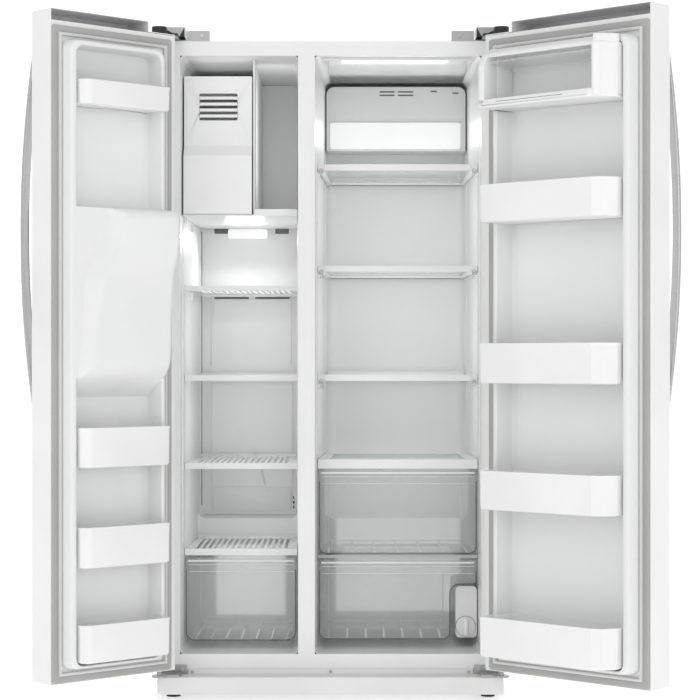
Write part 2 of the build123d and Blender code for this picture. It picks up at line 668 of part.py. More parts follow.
def freezer_bulge(t):
    """Stacked sections from the bottom of the bulge to its top, inset by t."""
    sections = []
    back = RECESS_P - 1.5
    hinge_side, root = DYKE_HINGE + 4 + t, FREEZER_DOOR_W - DYKE_WALL_FREE + 6 - t
    for i, (z, p_hinge, p_face, a_face, a_foot) in enumerate(BULGE):
        z += t if i == 0 else -t if i == len(BULGE) - 1 else 0
        land = min(p_face - 0.2, FREEZER_DYKE_P)
        corners = [
            (dx(hinge_side), py(back)),
            (dx(hinge_side + 1), py(p_hinge - t)),
            (dx(a_face - t), py(p_face - t)),
            (dx(a_foot - t), py(land - t)),
            (dx(root), py(land - t)),
            (dx(root), py(back)),
        ]
        wire = Polyline(*[(x, y, z) for x, y in corners], close=True)
        sections.append(Face(Wire(wire.edges())))
    return loft(sections, ruled=True)


def gasket(width):
    a0, a1 = GASKET_HINGE, width - GASKET_FREE
    z0, z1 = GASKET_Z
    w = GASKET_W
    outer = slab(dx(a1), dx(a0), z0, z1, py(0), py(GASKET_T), 3)
    return outer - slab(dx(a1 - w), dx(a0 + w), z0 + w, z1 - w, py(-1), py(GASKET_T + 1), 3)


def bin_outline(width, reach, grow, back):
    """A bin in plan: square at the hinge side, swept back towards the dyke at the free side."""
    a_in, a_out = DYKE_WALL_HINGE + 4 - grow, DYKE_HINGE + 2 - grow
    step_p = 48.0 if reach > 80 else 42.5
    sweep = 46.0 if reach > 80 else 24.0
    free = width - DYKE_WALL_FREE - 4 + grow
    front = reach + grow
    shoulder = 60.0 if reach > 80 else 44.0
    return [
        (dx(a_in), py(back - grow)),
        (dx(a_in), py(step_p - grow)),
        (dx(a_out), py(step_p - grow)),
        (dx(a_out), py(front)),
        (dx(free - sweep), py(front)),
        (dx(free - sweep * 0.42), py(front - (front - shoulder) * 0.3)),
        (dx(free), py(shoulder)),
        (dx(free), py(back - grow)),
    ]


def door_bin(width, reach, z0, z1):
    t = 2.5
    back = RECESS_P + 3.0
    tub = plan(bin_outline(width, reach, 0, back), z0, z1)
    hollow = plan(bin_outline(width, reach, -t, back), z0 + t, z1 + 1)
    return tub - hollow


def dairy_bin():
    """A hooded box: floor tray with a lip, a chamfered cheek at the hinge side and a solid free side."""
    z0, z1 = DAIRY_Z
    top = DAIRY_TOP
    t = 2.5
    back = RECESS_P + 3.0
    reach = FRIDGE_BIN_P
    outline = bin_outline(FRIDGE_DOOR_W, reach, 0, back)
    proud = block(dx(FRIDGE_DOOR_W), dx(0), py(FRIDGE_DYKE_P + 2.5), py(reach), z1 - 1, top)
    box = plan(outline, z0, z1) + (plan(outline, z1 - 1, top) & proud)
    slope = [(py(reach + 1), top - 30), (py(reach + 1), top + 1), (py(reach - 32), top + 1)]
    box -= profile(slope, dx(FRIDGE_DOOR_W), dx(0))
    a0, a1 = DYKE_WALL_HINGE + 4 + t, FRIDGE_DOOR_W - DYKE_WALL_FREE - 58
    room = [
        (py(back + t), z0 + t),
        (py(reach - t), z0 + t),
        (py(reach - t), top - 33),
        (py(reach - 36), z1 - t),
        (py(back + t), z1 - t),
    ]
    box -= profile(room, dx(a1), dx(a0))
    mouth = [
        (py(reach + 2), z0 + 22),
        (py(reach + 2), top - 32),
        (py(reach - 37), z1 - t - 1),
        (py(reach - 46), z1 - t - 1),
        (py(reach - 46), z0 + 22),
    ]
    box -= profile(mouth, dx(a1), dx(a0))
    return box - rod_x(dx(a1 + 6), dx(a0 - 6), py(DAIRY_PIVOT_P), DAIRY_PIVOT_Z, DAIRY_PIN_R + 0.05)


def dairy_cover():
    """The clear flap on its two pins, drawn raised under the hood."""
    a0, a1 = DYKE_WALL_HINGE + 10, FRIDGE_DOOR_W - DYKE_WALL_FREE - 62
    y, z = py(DAIRY_PIVOT_P), DAIRY_PIVOT_Z
    corners = [(y + 3, z + 1.5), (y + 3, z - 1.5), (y - DAIRY_FLAP, z - 8.5), (y - DAIRY_FLAP, z - 5.5)]
    lip = block(dx(a1), dx(a0), y - DAIRY_FLAP - 1, y - DAIRY_FLAP + 3, z - 15, z - 6)
    return profile(corners, dx(a1), dx(a0)) + lip + rod_x(dx(a1 + 9), dx(a0 - 9), y, z, DAIRY_PIN_R)


HANDLE_Z = (747.0, 1687.0)
HANDLE_W = 22.0
HANDLE_OUT = 61.0
HANDLE_T = 14.0
HANDLE_FOOT = 44.0


def handle(width):
    """A bowed bar whose ends run down into the door's face."""
    z0, z1 = HANDLE_Z
    middle = (z0 + z1) / 2
    x0 = dx(width - 9.0)
    skin = DOOR_OUT - 0.2
    tip = DOOR_OUT - HANDLE_OUT
    outline = [
        ThreePointArc((skin, z0), (tip, middle), (skin, z1)),
        Line((skin, z1), (skin, z1 - HANDLE_FOOT)),
        ThreePointArc((skin, z1 - HANDLE_FOOT), (tip + HANDLE_T, middle), (skin, z0 + HANDLE_FOOT)),
        Line((skin, z0 + HANDLE_FOOT), (skin, z0)),
    ]
    return extrude(Plane.YZ.offset(x0) * make_face(outline), HANDLE_W)


# --- dispenser, in the freezer door's outer face -------------------------------------------------
DISP_A = (72.0, 316.0)
DISP_Z = (888.0, 1290.0)
ALCOVE_Z = (906.0, 1148.0)
ALCOVE_P = 6.0
PADDLE_Z = 1126.0
FLAP_P = -20.0
FLAP_Z = 1141.0


def dispenser_housing():
    """Bezel, control panel and alcove, with the ice chute rising into the bulge."""
    a0, a1 = DISP_A
    z0, z1 = DISP_Z
    t = 2.5
    bezel = slab(dx(a1), dx(a0), z0, z1, DOOR_OUT - 4, DOOR_OUT - 0.2, 14)
    bezel += slab(dx(a1 - 8), dx(a0 + 8), z0 + 8, z1 - 8, DOOR_OUT - 1, DOOR_OUT + 14, 10)
    tub = slab(dx(a1 - 12), dx(a0 + 12), ALCOVE_Z[0] - t, ALCOVE_Z[1] + t, DOOR_OUT + 1, py(ALCOVE_P + t), 14)
    body = bezel + tub
    body -= slab(dx(a1 - 12 - t), dx(a0 + 12 + t), ALCOVE_Z[0], ALCOVE_Z[1], DOOR_OUT - 5, py(ALCOVE_P), 12)
    middle = (a0 + a1) / 2
    duct = [(py(16), 1260), (py(58), 1260), (py(-24), ALCOVE_Z[1] + 1), (py(-84), ALCOVE_Z[1] + 1)]
    bore = [(py(19), 1261), (py(55), 1261), (py(-28.5), ALCOVE_Z[1] - 1), (py(-80.5), ALCOVE_Z[1] - 1)]
    body += profile(duct, dx(middle + 24), dx(middle - 24))
    body -= profile(bore, dx(middle + 21.5), dx(middle - 21.5))
    for x in (-30, 30):
        pivot = rod_x(dx(middle + x) - 19, dx(middle + x) + 19, py(-9), PADDLE_Z, 3)
        lugs = block(dx(middle + x) - 21, dx(middle + x) - 17.5, py(-13), py(ALCOVE_P + 1), PADDLE_Z - 6, PADDLE_Z + 6)
        lugs += block(dx(middle + x) + 17.5, dx(middle + x) + 21, py(-13), py(ALCOVE_P + 1), PADDLE_Z - 6, PADDLE_Z + 6)
        body += pivot + lugs
    body += rod_x(dx(middle + 40), dx(middle - 40), py(FLAP_P), FLAP_Z, 2)
    for x in (middle + 41, middle - 38):
        body += block(dx(x), dx(x - 3), py(FLAP_P - 3), py(FLAP_P + 3), FLAP_Z - 3, ALCOVE_Z[1] + 1)
    return body


def dispenser_panel():
    """The dark control panel with its row of touch keys, set in the bezel above the alcove."""
    a0, a1 = DISP_A
    return slab(dx(a1 - 14), dx(a0 + 14), ALCOVE_Z[1] + 16, DISP_Z[1] - 14, DOOR_OUT - 6, DOOR_OUT - 4, 8)


def dispenser_tray():
    a0, a1 = DISP_A
    tray = slab(dx(a1 - 19), dx(a0 + 19), ALCOVE_Z[0] + 0.3, ALCOVE_Z[0] + 20, DOOR_OUT - 2, py(0), 8)
    for i in range(11):
        x = dx((a0 + a1) / 2) + (i - 5) * 17
        tray -= block(x - 5, x + 5, DOOR_OUT + 8, py(-8), ALCOVE_Z[0] + 5, ALCOVE_Z[0] + 21)
    return tray


def paddle(offset):
    """A lever hung on its pivot, wide at the bottom where a glass pushes it."""
    x = dx((DISP_A[0] + DISP_A[1]) / 2 + offset)
    arm = block(x - 16, x + 16, py(-16), py(-13), PADDLE_Z - 96, PADDLE_Z - 4)
    arm += rod_x(x - 16, x + 16, py(-9), PADDLE_Z, 7)
    arm += block(x - 12, x + 12, py(-16), py(-9), PADDLE_Z - 12, PADDLE_Z)
    arm = arm - rod_x(x - 17, x + 17, py(-9), PADDLE_Z, 3.05)
    return arm


def chute_flap():
    """The lid that shuts the ice chute from below."""
    middle = (DISP_A[0] + DISP_A[1]) / 2
    x0, x1 = dx(middle + 36), dx(middle - 36)
    lid = block(x0, x1, py(-85), py(FLAP_P), FLAP_Z + 2.0, FLAP_Z + 5.0)
    lid += rod_x(x0, x1, py(FLAP_P), FLAP_Z, 5)
    return lid - rod_x(x0 - 1, x1 + 1, py(FLAP_P), FLAP_Z, 2.05)


def hang(part, s):
    """Mirror a door piece for the left side if need be, and swing it open."""
    part = part if s > 0 else mirror(part, about=Plane.YZ)
    pivot = Pos(s * PIVOT_X, PIVOT_Y, 0)
    return pivot * Rot(0, 0, s * OPEN_ANGLE) * pivot.inverse() * part


# --- build ---------------------------------------------------------------------------------------
save("outer_wrap", outer_wrap())
save("front_frame", front_frame(), toe_rail())
save("foam_insulation", foam_insulation())
save("freezer_liner", bay_liner(FREEZER))
save("fridge_liner", bay_liner(FRIDGE))
save("base_frame", base_frame())
save("base_cover", base_cover())
save("rear_panel", rear_panel())
save("machine_cover", machine_cover(), cord_gland())
save("compressor", compressor())
save("condenser", condenser())
save("fan_shroud", fan_shroud())
save("condenser_fan", condenser_fan())
save("water_valve", water_valve())
save("evaporator_cover", evaporator_cover())
save("evaporator", evaporator())
save("freezer_shelves", *[freezer_shelf(z0, z1) for z0, z1 in FREEZER_SHELVES_Z])
save("ice_shelf", ice_shelf())
save("ice_maker", ice_maker())
save("ice_bucket", ice_bucket())
save("freezer_drawer", freezer_drawer())
save("fridge_duct_cover", fridge_duct_cover())
save("lamp_lenses", *lamp_lenses())
save("fridge_shelves", *[fridge_shelf(z0, z1) for z0, z1 in SHELVES_Z])
save("shelf_glass", *[shelf_glass(z0, z1) for z0, z1 in SHELVES_Z], crisper_glass())
save("crisper_cover", crisper_cover())
save("crisper_divider", crisper_shelf())
save("crisper_upper", crisper_upper())
save("crisper_lower", crisper_lower())
save("filter_housing", filter_housing())
save("filter_cartridge", filter_cartridge())
save("hinge_brackets", upper_hinge(-1), upper_hinge(1), lower_hinge(-1), lower_hinge(1))
save("cabinet_screws", *cabinet_screws())
save("foot_left", foot(-1))
save("foot_right", foot(1))
save("rear_rollers", rear_rollers())

freezer_shell = door_shell(FREEZER_DOOR_W)
a0, a1 = DISP_A
freezer_shell -= slab(dx(a1 - 7), dx(a0 + 7), DISP_Z[0] + 7, DISP_Z[1] - 7, DOOR_OUT - 1, DOOR_OUT + 4, 11)
save("freezer_door_shell", hang(freezer_shell, -1))
freezer_door_liner = door_liner(FREEZER_DOOR_W, FREEZER_DYKE_P, FREEZER_POCKETS_Z, freezer_bulge)
save("freezer_door_liner", hang(freezer_door_liner, -1))
save("freezer_door_gasket", hang(gasket(FREEZER_DOOR_W), -1))
save("freezer_handle", hang(handle(FREEZER_DOOR_W), -1))
for i, (z0, z1) in enumerate(FREEZER_BINS_Z):
    save(f"freezer_bin_{i + 1}", hang(door_bin(FREEZER_DOOR_W, FREEZER_BIN_P, z0, z1), -1))
save("dispenser_housing", hang(dispenser_housing(), -1))
save("dispenser_panel", hang(dispenser_panel(), -1))
save("dispenser_tray", hang(dispenser_tray(), -1))
save("ice_paddle", hang(paddle(-30), -1))
save("water_paddle", hang(paddle(30), -1))
save("chute_flap", hang(chute_flap(), -1))

save("fridge_door_shell", hang(door_shell(FRIDGE_DOOR_W), 1))
save("fridge_door_liner", hang(door_liner(FRIDGE_DOOR_W, FRIDGE_DYKE_P, FRIDGE_POCKETS_Z, None), 1))
save("fridge_door_gasket", hang(gasket(FRIDGE_DOOR_W), 1))
save("fridge_handle", hang(handle(FRIDGE_DOOR_W), 1))
for i, (z0, z1) in enumerate(FRIDGE_BINS_Z):
    save(f"fridge_bin_{i + 1}", hang(door_bin(FRIDGE_DOOR_W, FRIDGE_BIN_P, z0, z1), 1))
save("dairy_bin", hang(dairy_bin(), 1))
save("dairy_cover", hang(dairy_cover(), 1))
print(len(nodes), "nodes")
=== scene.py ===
import json
import math

import bmesh
import bpy
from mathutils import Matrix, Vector


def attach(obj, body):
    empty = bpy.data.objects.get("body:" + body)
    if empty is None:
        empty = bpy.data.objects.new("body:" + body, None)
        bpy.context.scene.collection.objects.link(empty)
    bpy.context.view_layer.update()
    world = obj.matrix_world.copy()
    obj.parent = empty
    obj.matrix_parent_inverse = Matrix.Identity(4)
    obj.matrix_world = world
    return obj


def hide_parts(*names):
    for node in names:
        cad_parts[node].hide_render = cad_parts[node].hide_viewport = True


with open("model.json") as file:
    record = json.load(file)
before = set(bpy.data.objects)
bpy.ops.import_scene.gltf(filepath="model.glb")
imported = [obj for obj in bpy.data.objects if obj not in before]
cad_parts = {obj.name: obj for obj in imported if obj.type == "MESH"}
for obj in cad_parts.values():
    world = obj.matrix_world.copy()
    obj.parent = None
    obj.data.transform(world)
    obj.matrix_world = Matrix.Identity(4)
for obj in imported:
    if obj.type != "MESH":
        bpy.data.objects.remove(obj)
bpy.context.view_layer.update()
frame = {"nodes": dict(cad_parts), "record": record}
nodes = frame["nodes"]
scene = bpy.context.scene

# --- the object's own measures, in mm, as the CAD source has them -------------------------------
SIDE, FRONT, TOP = 456.0, -360.0, 1739.0
DOOR_IN = -372.0
PIVOT_X, PIVOT_Y, OPEN = 447.5, -427.0, math.radians(137)
# the freezer's side is -1 and the fridge's side 1
SIDE_NAME = {-1: "freezer", 1: "fridge"}
DOOR_W = {-1: 389.5, 1: 517.5}
DYKE_P = {-1: 40.0, 1: 46.0}
# front wall places, back wall places and depth
BAY = {-1: ((-399, -86), (-385, -104), 655), 1: ((-42, 400), (-16, 388), 620)}
BAY_FLOOR, STEP_FLOOR, BAY_CEILING = 115.0, 440.0, 1700.0
DOOR_SHEET, BAY_SHEET = 2.4, 2.2
DRAWER_FRONT, DRAWER_BACK, DRAWER_GAP = 100.0, 470.0, 5.0
FREEZER_COVER_D, DUCT_COVER_D = 585.0, 515.0
FILTER_X, FILTER_Z, FILTER_R = 364.0, 174.0, 26.2


def door_point(s, a, p, z):
    """A point of a closed door (a from its hinge side, p towards the cabinet), swung open."""
    x, y = SIDE - a - PIVOT_X, DOOR_IN + p - PIVOT_Y
    rx = PIVOT_X + x * math.cos(OPEN) - y * math.sin(OPEN)
    ry = PIVOT_Y + x * math.sin(OPEN) + y * math.cos(OPEN)
    return Vector((s * rx, ry, z)) / 1000


def wall_x(s, side, d):
    """Where a bay's left (0) or right (1) wall stands at a depth."""
    front, back, depth = BAY[s]
    return front[side] + (back[side] - front[side]) * d / depth


def bay_point(x, d, z):
    """A point of the cabinet, d back from its front face."""
    return Vector((x, FRONT + d, z)) / 1000


# --- materials ----------------------------------------------------------------------------------
def material(name, color, rough, metal=0.0, coat=0.0, bump=0.15, scale=600.0, stretch=(1, 1, 1),
             mottle=0.03, rough_var=0.06, alpha=1.0, glow=0.0):
    """Moulded or painted surface: fine bump, patchy gloss and a faint drift of tone."""
    m = bpy.data.materials.new(name)
    m.use_nodes = True
    t = m.node_tree
    b = t.nodes["Principled BSDF"]
    b.inputs["Metallic"].default_value = metal
    b.inputs["Coat Weight"].default_value = coat
    b.inputs["Coat Roughness"].default_value = 0.08
    b.inputs["Alpha"].default_value = alpha
    co = t.nodes.new("ShaderNodeTexCoord")
    mp = t.nodes.new("ShaderNodeMapping")
    mp.inputs["Scale"].default_value = stretch
    t.links.new(co.outputs["Object"], mp.inputs["Vector"])
    fine = t.nodes.new("ShaderNodeTexNoise")
    fine.inputs["Scale"].default_value = scale
    fine.inputs["Detail"].default_value = 3
    broad = t.nodes.new("ShaderNodeTexNoise")
    broad.inputs["Scale"].default_value = 4.0
    broad.inputs["Detail"].default_value = 4
    for n in (fine, broad):
        t.links.new(mp.outputs["Vector"], n.inputs["Vector"])
    tone = t.nodes.new("ShaderNodeValToRGB")
    tone.color_ramp.elements[0].position = 0.3
    tone.color_ramp.elements[1].position = 0.7
    tone.color_ramp.elements[0].color = (*[c * (1 - mottle) for c in color], 1)
    tone.color_ramp.elements[1].color = (*[min(1, c * (1 + mottle)) for c in color], 1)
    t.links.new(broad.outputs["Fac"], tone.inputs["Fac"])
    t.links.new(tone.outputs["Color"], b.inputs["Base Color"])
    gloss = t.nodes.new("ShaderNodeMapRange")
    gloss.inputs["To Min"].default_value = max(0.02, rough - rough_var)
    gloss.inputs["To Max"].default_value = min(1, rough + rough_var)
    t.links.new(fine.outputs["Fac"], gloss.inputs["Value"])
    t.links.new(gloss.outputs["Result"], b.inputs["Roughness"])
    if bump:
        bn = t.nodes.new("ShaderNodeBump")
        bn.inputs["Strength"].default_value = bump
        bn.inputs["Distance"].default_value = 0.0004
        t.links.new(fine.outputs["Fac"], bn.inputs["Height"])
        t.links.new(bn.outputs["Normal"], b.inputs["Normal"])
    if glow:
        b.inputs["Emission Strength"].default_value = glow
        b.inputs["Emission Color"].default_value = (1, 1, 0.99, 1)
    return m


MAT = {
    "door_paint": material("door_paint", (0.86, 0.865, 0.86), 0.2, coat=0.4, bump=0.12, scale=420),
    "cabinet_paint": material("cabinet_paint", (0.8, 0.805, 0.8), 0.42, bump=0.35, scale=700),
    "face_paint": material("face_paint", (0.84, 0.845, 0.84), 0.3, coat=0.2, bump=0.12, scale=500),
    "galvanised": material("galvanised", (0.5, 0.51, 0.52), 0.45, metal=0.85, mottle=0.12, scale=90,
                           rough_var=0.12),
    "hinge_steel": material("hinge_steel", (0.42, 0.43, 0.44), 0.4, metal=0.8, bump=0.5, scale=900,
                            mottle=0.08),
    "screw_steel": material("screw_steel", (0.5, 0.5, 0.5), 0.3, metal=1.0, bump=0.2, scale=900),
    "foam": material("foam", (0.8, 0.7, 0.45), 0.9, bump=0.8, scale=300, mottle=0.1),
    "liner_plastic": material("liner_plastic", (0.83, 0.837, 0.835), 0.34, bump=0.1, scale=500, mottle=0.015),
    "white_plastic": material("white_plastic", (0.86, 0.865, 0.862), 0.3, coat=0.15, bump=0.1, scale=450),
    "base_plastic": material("base_plastic", (0.78, 0.783, 0.78), 0.5, bump=0.5, scale=900),
    "clear_plastic": material("clear_plastic", (0.8, 0.81, 0.812), 0.1, bump=0.05, scale=200, alpha=0.2),
    "shelf_glass": material("shelf_glass", (0.8, 0.87, 0.85), 0.05, bump=0.02, scale=50, alpha=0.3),
    "lamp_cover": material("lamp_cover", (0.95, 0.95, 0.945), 0.3, bump=0.2, scale=300, glow=0.22),
    "gasket": material("gasket", (0.42, 0.42, 0.41), 0.6, bump=0.4, scale=800, mottle=0.05),
    # a lighter copy of the gasket rubber: painted light on the seal's raised lip
    "gasket_light": material("gasket_light", (0.66, 0.665, 0.66), 0.5, bump=0.3, scale=800),
    "handle_metal": material("handle_metal", (0.6, 0.6, 0.61), 0.24, metal=1.0, bump=0.25, scale=500,
                             stretch=(1, 1, 0.02), mottle=0.05),
    "dark_panel": material("dark_panel", (0.012, 0.012, 0.014), 0.1, coat=0.6, bump=0.03),
    "dispenser_plastic": material("dispenser_plastic", (0.36, 0.36, 0.37), 0.32, bump=0.2, scale=700),
    "paddle_plastic": material("paddle_plastic", (0.05, 0.05, 0.053), 0.35, bump=0.3, scale=700),
    "ice_maker_plastic": material("ice_maker_plastic", (0.6, 0.605, 0.6), 0.5, bump=0.4),
    "compressor_paint": material("compressor_paint", (0.015, 0.015, 0.016), 0.4, bump=0.5, scale=350),
    "coil_metal": material("coil_metal", (0.62, 0.63, 0.64), 0.35, metal=1.0, scale=900, mottle=0.06),
    "black_plastic": material("black_plastic", (0.02, 0.02, 0.021), 0.5, bump=0.5, scale=800),
    "foot_plastic": material("foot_plastic", (0.018, 0.018, 0.019), 0.6, bump=0.6, scale=800),
    "filter_plastic": material("filter_plastic", (0.8, 0.805, 0.8), 0.3, bump=0.1, scale=500),
    "trim_bright": material("trim_bright", (0.85, 0.855, 0.85), 0.14, coat=0.5, bump=0.03, scale=300),
    "drawer_edge": material("drawer_edge", (0.13, 0.133, 0.133), 0.2, bump=0.1, scale=300, alpha=0.85),
    "shadow_line": material("shadow_line", (0.16, 0.165, 0.165), 0.5, bump=0.2, scale=600),
    "bracket_clear": material("bracket_clear", (0.66, 0.67, 0.675), 0.1, bump=0.05, scale=200, alpha=0.6),
}

# --- CAD nodes: a material for each and softened edges for most ---------------------------------
slots = {sp["node"]: sp["material_slot"] for sp in frame["record"]["subparts"]}
slots["crisper_divider"] = "bracket_clear"
EDGE = 0.8
edge = {"hinge_brackets": 1.0, "cabinet_screws": 0.0, "evaporator": 0.0, "condenser": 0.0,
        "condenser_fan": 0.3, "outer_wrap": 1.0, "shelf_glass": 0.5, "dispenser_tray": 0.5}
for name, node in nodes.items():
    node.data.materials.clear()
    node.data.materials.append(MAT[slots[name]])
    width = edge.get(name, EDGE)
    if width:
        weld = node.modifiers.new("weld", "WELD")
        weld.merge_threshold = 0.00002
        bevel = node.modifiers.new("bevel", "BEVEL")
        bevel.width = width / 1000
        bevel.segments = 2
        bevel.limit_method = "ANGLE"
        bevel.angle_limit = math.radians(40)
        bevel.use_clamp_overlap = True


# --- mesh helpers -------------------------------------------------------------------------------
def make(name, verts, faces, mats, body, slot, replaced=(), bevel=0.0, smooth=35, face_mats=None):
    """A piece from vertices in metres and faces; it rides on a body and may stand for CAD nodes."""
    mesh = bpy.data.meshes.new(name)
    mesh.from_pydata([tuple(v) for v in verts], [], faces)
    mesh.validate()
    o = bpy.data.objects.new(name, mesh)
    scene.collection.objects.link(o)
    for m in mats if isinstance(mats, list) else [mats]:
        mesh.materials.append(MAT[m])
    if face_mats:
        for f, i in zip(mesh.polygons, face_mats):
            f.material_index = i
    bm = bmesh.new()
    bm.from_mesh(mesh)
    bmesh.ops.recalc_face_normals(bm, faces=bm.faces)
    bm.to_mesh(mesh)
    bm.free()
    mesh.shade_smooth()
    mesh.set_sharp_from_angle(angle=math.radians(smooth))
    if bevel:
        b = o.modifiers.new("bevel", "BEVEL")
        b.width = bevel / 1000
        b.segments = 2
        b.limit_method = "ANGLE"
        b.angle_limit = math.radians(smooth)
        b.harden_normals = True
    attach(o, body)
    if replaced:
        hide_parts(*replaced)


def loft(rings, closed=False):
    """Vertices and faces of a skin over equal rings, capped at both ends or closed into a loop."""
    n = len(rings[0])
    verts = [v for r in rings for v in r]
    faces = []
    spans = len(rings) if closed else len(rings) - 1
    for i in range(spans):
        j = (i + 1) % len(rings)
        for k in range(n):
            after = (k + 1) % n
            faces.append((i * n + k, i * n + after, j * n + after, j * n + k))
    if not closed:
        faces.append(tuple(range(n))[::-1])
        faces.append(tuple((len(rings) - 1) * n + k for k in range(n)))
    return verts, faces


def join(*parts):
    """Several (vertices, faces) as one."""
    verts, faces = [], []
    for v, f in parts:
        faces += [tuple(i + len(verts) for i in face) for face in f]
        verts += v
    return verts, faces


def rounded(points, radii, steps=5):
    """A closed 2D outline with each corner rounded to its own radius."""
    out = []
    n = len(points)
    radii = radii if isinstance(radii, (list, tuple)) else [radii] * n
    for i, (p, r) in enumerate(zip(points, radii)):
        p = Vector(p)
        u = Vector(points[i - 1]) - p
        v = Vector(points[(i + 1) % n]) - p
        if r <= 0:
            out.append(p)
            continue
        lu, lv = u.length, v.length
        u.normalize()
        v.normalize()
        half = u.angle(v) / 2
        cut = min(r / math.tan(half), 0.49 * lu, 0.49 * lv)
        r = cut * math.tan(half)
        centre = p + (u + v).normalized() * (r / math.sin(half))
        a, b = p + u * cut - centre, p + v * cut - centre
        sweep = a.angle_signed(b)
        for k in range(steps + 1):
            t = -sweep * k / steps
            turned = (a.x * math.cos(t) - a.y * math.sin(t), a.x * math.sin(t) + a.y * math.cos(t))
            out.append(centre + Vector(turned))
    return out


def area(points):
    """The area inside an outline, positive when it runs anticlockwise."""
    return sum(points[i - 1][0] * p[1] - p[0] * points[i - 1][1] for i, p in enumerate(points)) / 2


def offset(points, d):
    """The outline moved inwards by d."""
    side = 1 if area(points) > 0 else -1
    out = []
    n = len(points)
    for i, p in enumerate(points):
        p = Vector(p)
        e0 = (p - Vector(points[i - 1])).normalized()
        e1 = (Vector(points[(i + 1) % n]) - p).normalized()
        n0, n1 = Vector((-e0.y, e0.x)) * side, Vector((-e1.y, e1.x)) * side
        m = n0 + n1
        m = m.normalized() if m.length > 1e-6 else n0
        out.append(p + m * (d / max(0.35, m.dot(n0))))
    return out


def inset_rings(line, steps, place):
    """Rings of one outline at several stations, each moved in by its own inset."""
    rings = []
    for station, inset in steps:
        rings.append([place(station, q.x, q.y) for q in (offset(line, inset) if inset else line)])
    return rings


def rect(x0, x1, z0, z1):
    """The four corners of a rectangle."""
    return [(x0, z0), (x1, z0), (x1, z1), (x0, z1)]


def tray(outline, z0, z1, wall, floor, to_world, draft=1.5, foot=5, lip=0.0, lip_h=0.0):
    """A tub with a rounded foot, drafted walls and, if asked, a lip turned out at its rim."""
    height = z1 - z0
    rings = []

    def ring(inset, z):
        rings.append([to_world(q.x, q.y, z) for q in offset(outline, inset)])

    def lean(z):
        return draft * (1 - (z - z0) / height) + lip

    ring(lean(z0) + foot, z0)
    ring(lean(z0) + foot * 0.3, z0 + foot * 0.3)
    ring(lean(z0 + foot), z0 + foot)
    if lip:
        ring(lean(z1 - lip_h - 1.5), z1 - lip_h - 1.5)
        ring(0.4, z1 - lip_h)
        ring(0, z1 - lip_h + 1)
    ring(0 if lip else lean(z1), z1 - 0.8)
    ring((0 if lip else lean(z1)) + 0.8, z1)
    inner = lip + wall
    ring(inner - 0.6, z1)
    ring(inner, z1 - 0.8)
    ring(lean(z0 + foot) + wall, z0 + floor + foot)
    ring(lean(z0) + foot + wall, z0 + floor)
    return loft(rings)


# --- door seals ---------------------------------------------------------------------------------
def seal(s):
    """A door's magnetic seal: a flat foot with a raised inner lip, as one closed loop."""
    width = DOOR_W[s]
    a0, a1, z0, z1 = 15.0, width - 3.0, 92.0, 1724.0
    shape = [(0.2, 0.05), (0.0, 4.0), (1.2, 6.4), (15.5, 6.4), (16.6, 5.4), (17.2, 9.6), (18.6, 11.4),
             (22.6, 11.4), (24.2, 9.6), (24.8, 4.0), (24.9, 0.05)]
    rings = []
    for inset, h in shape:
        corner = 6.0 if inset < 16 else 3.0
        line = rounded(rect(a0 + inset, a1 - inset, z0 + inset, z1 - inset), corner, 3)
        rings.append([door_point(s, q.x, h, q.y) for q in line])
    verts, faces = loft(rings, closed=True)
    n = len(rings[0])
    # the raised lip gets the lighter grey, painted light on one and the same rubber
    lip_painted_light = [1 if 4 <= i // n <= 8 else 0 for i in range(len(faces))]
    name = f"{SIDE_NAME[s]}_door"
    make(f"{name}_seal", verts, faces, ["gasket", "gasket_light"], name, "gasket", [f"{name}_gasket"],
         face_mats=lip_painted_light, smooth=50)


for s in (-1, 1):
    seal(s)


# --- handles ------------------------------------------------------------------------------------
def arc3(p0, p1, p2, t):
    """A point on the circle through three points, t from 0 to 1."""
    ax, ay = p0
    bx, by = p1
    cx, cy = p2
    d = 2 * (ax * (by - cy) + bx * (cy - ay) + cx * (ay - by))
    a2, b2, c2 = ax * ax + ay * ay, bx * bx + by * by, cx * cx + cy * cy
    ux = (a2 * (by - cy) + b2 * (cy - ay) + c2 * (ay - by)) / d
    uy = (a2 * (cx - bx) + b2 * (ax - cx) + c2 * (bx - ax)) / d
    r = math.hypot(ax - ux, ay - uy)
    t0, t1 = math.atan2(ay - uy, ax - ux), math.atan2(cy - uy, cx - ux)
    while t1 - t0 > math.pi:
        t1 -= 2 * math.pi
    while t1 - t0 < -math.pi:
        t1 += 2 * math.pi
    t = t0 + (t1 - t0) * t
    return ux + r * math.cos(t), uy + r * math.sin(t)


def handle(s):
    """The bowed bar: an outer and an inner arc that meet the door at both ends."""
    width = DOOR_W[s]
    z0, z1, foot = 747.0, 1687.0, 44.0
    skin, tip = -88.2, -149.0
    mid = (z0 + z1) / 2
    rings = []
    count = 72
    for i in range(count + 1):
        t = i / count
        po, zo = arc3((skin, z0), (tip, mid), (skin, z1), t)
        pi, zi = arc3((skin, z0 + foot), (tip + 14, mid), (skin, z1 - foot), t)
        thick = math.hypot(pi - po, zi - zo)
        r = min(5.0, thick * 0.42)
        section = rounded(rect(0, 22, 0, thick), r, 4)
        ring = []
        for q in section:
            k = q.y / thick
            ring.append(door_point(s, width - 9 - q.x, po + (pi - po) * k, zo + (zi - zo) * k))
        rings.append(ring)
    verts, faces = loft(rings)
    name = SIDE_NAME[s]
    make(f"{name}_pull", verts, faces, "handle_metal", f"{name}_door", "handle_metal",
         [f"{name}_handle"], smooth=50)


for s in (-1, 1):
    handle(s)


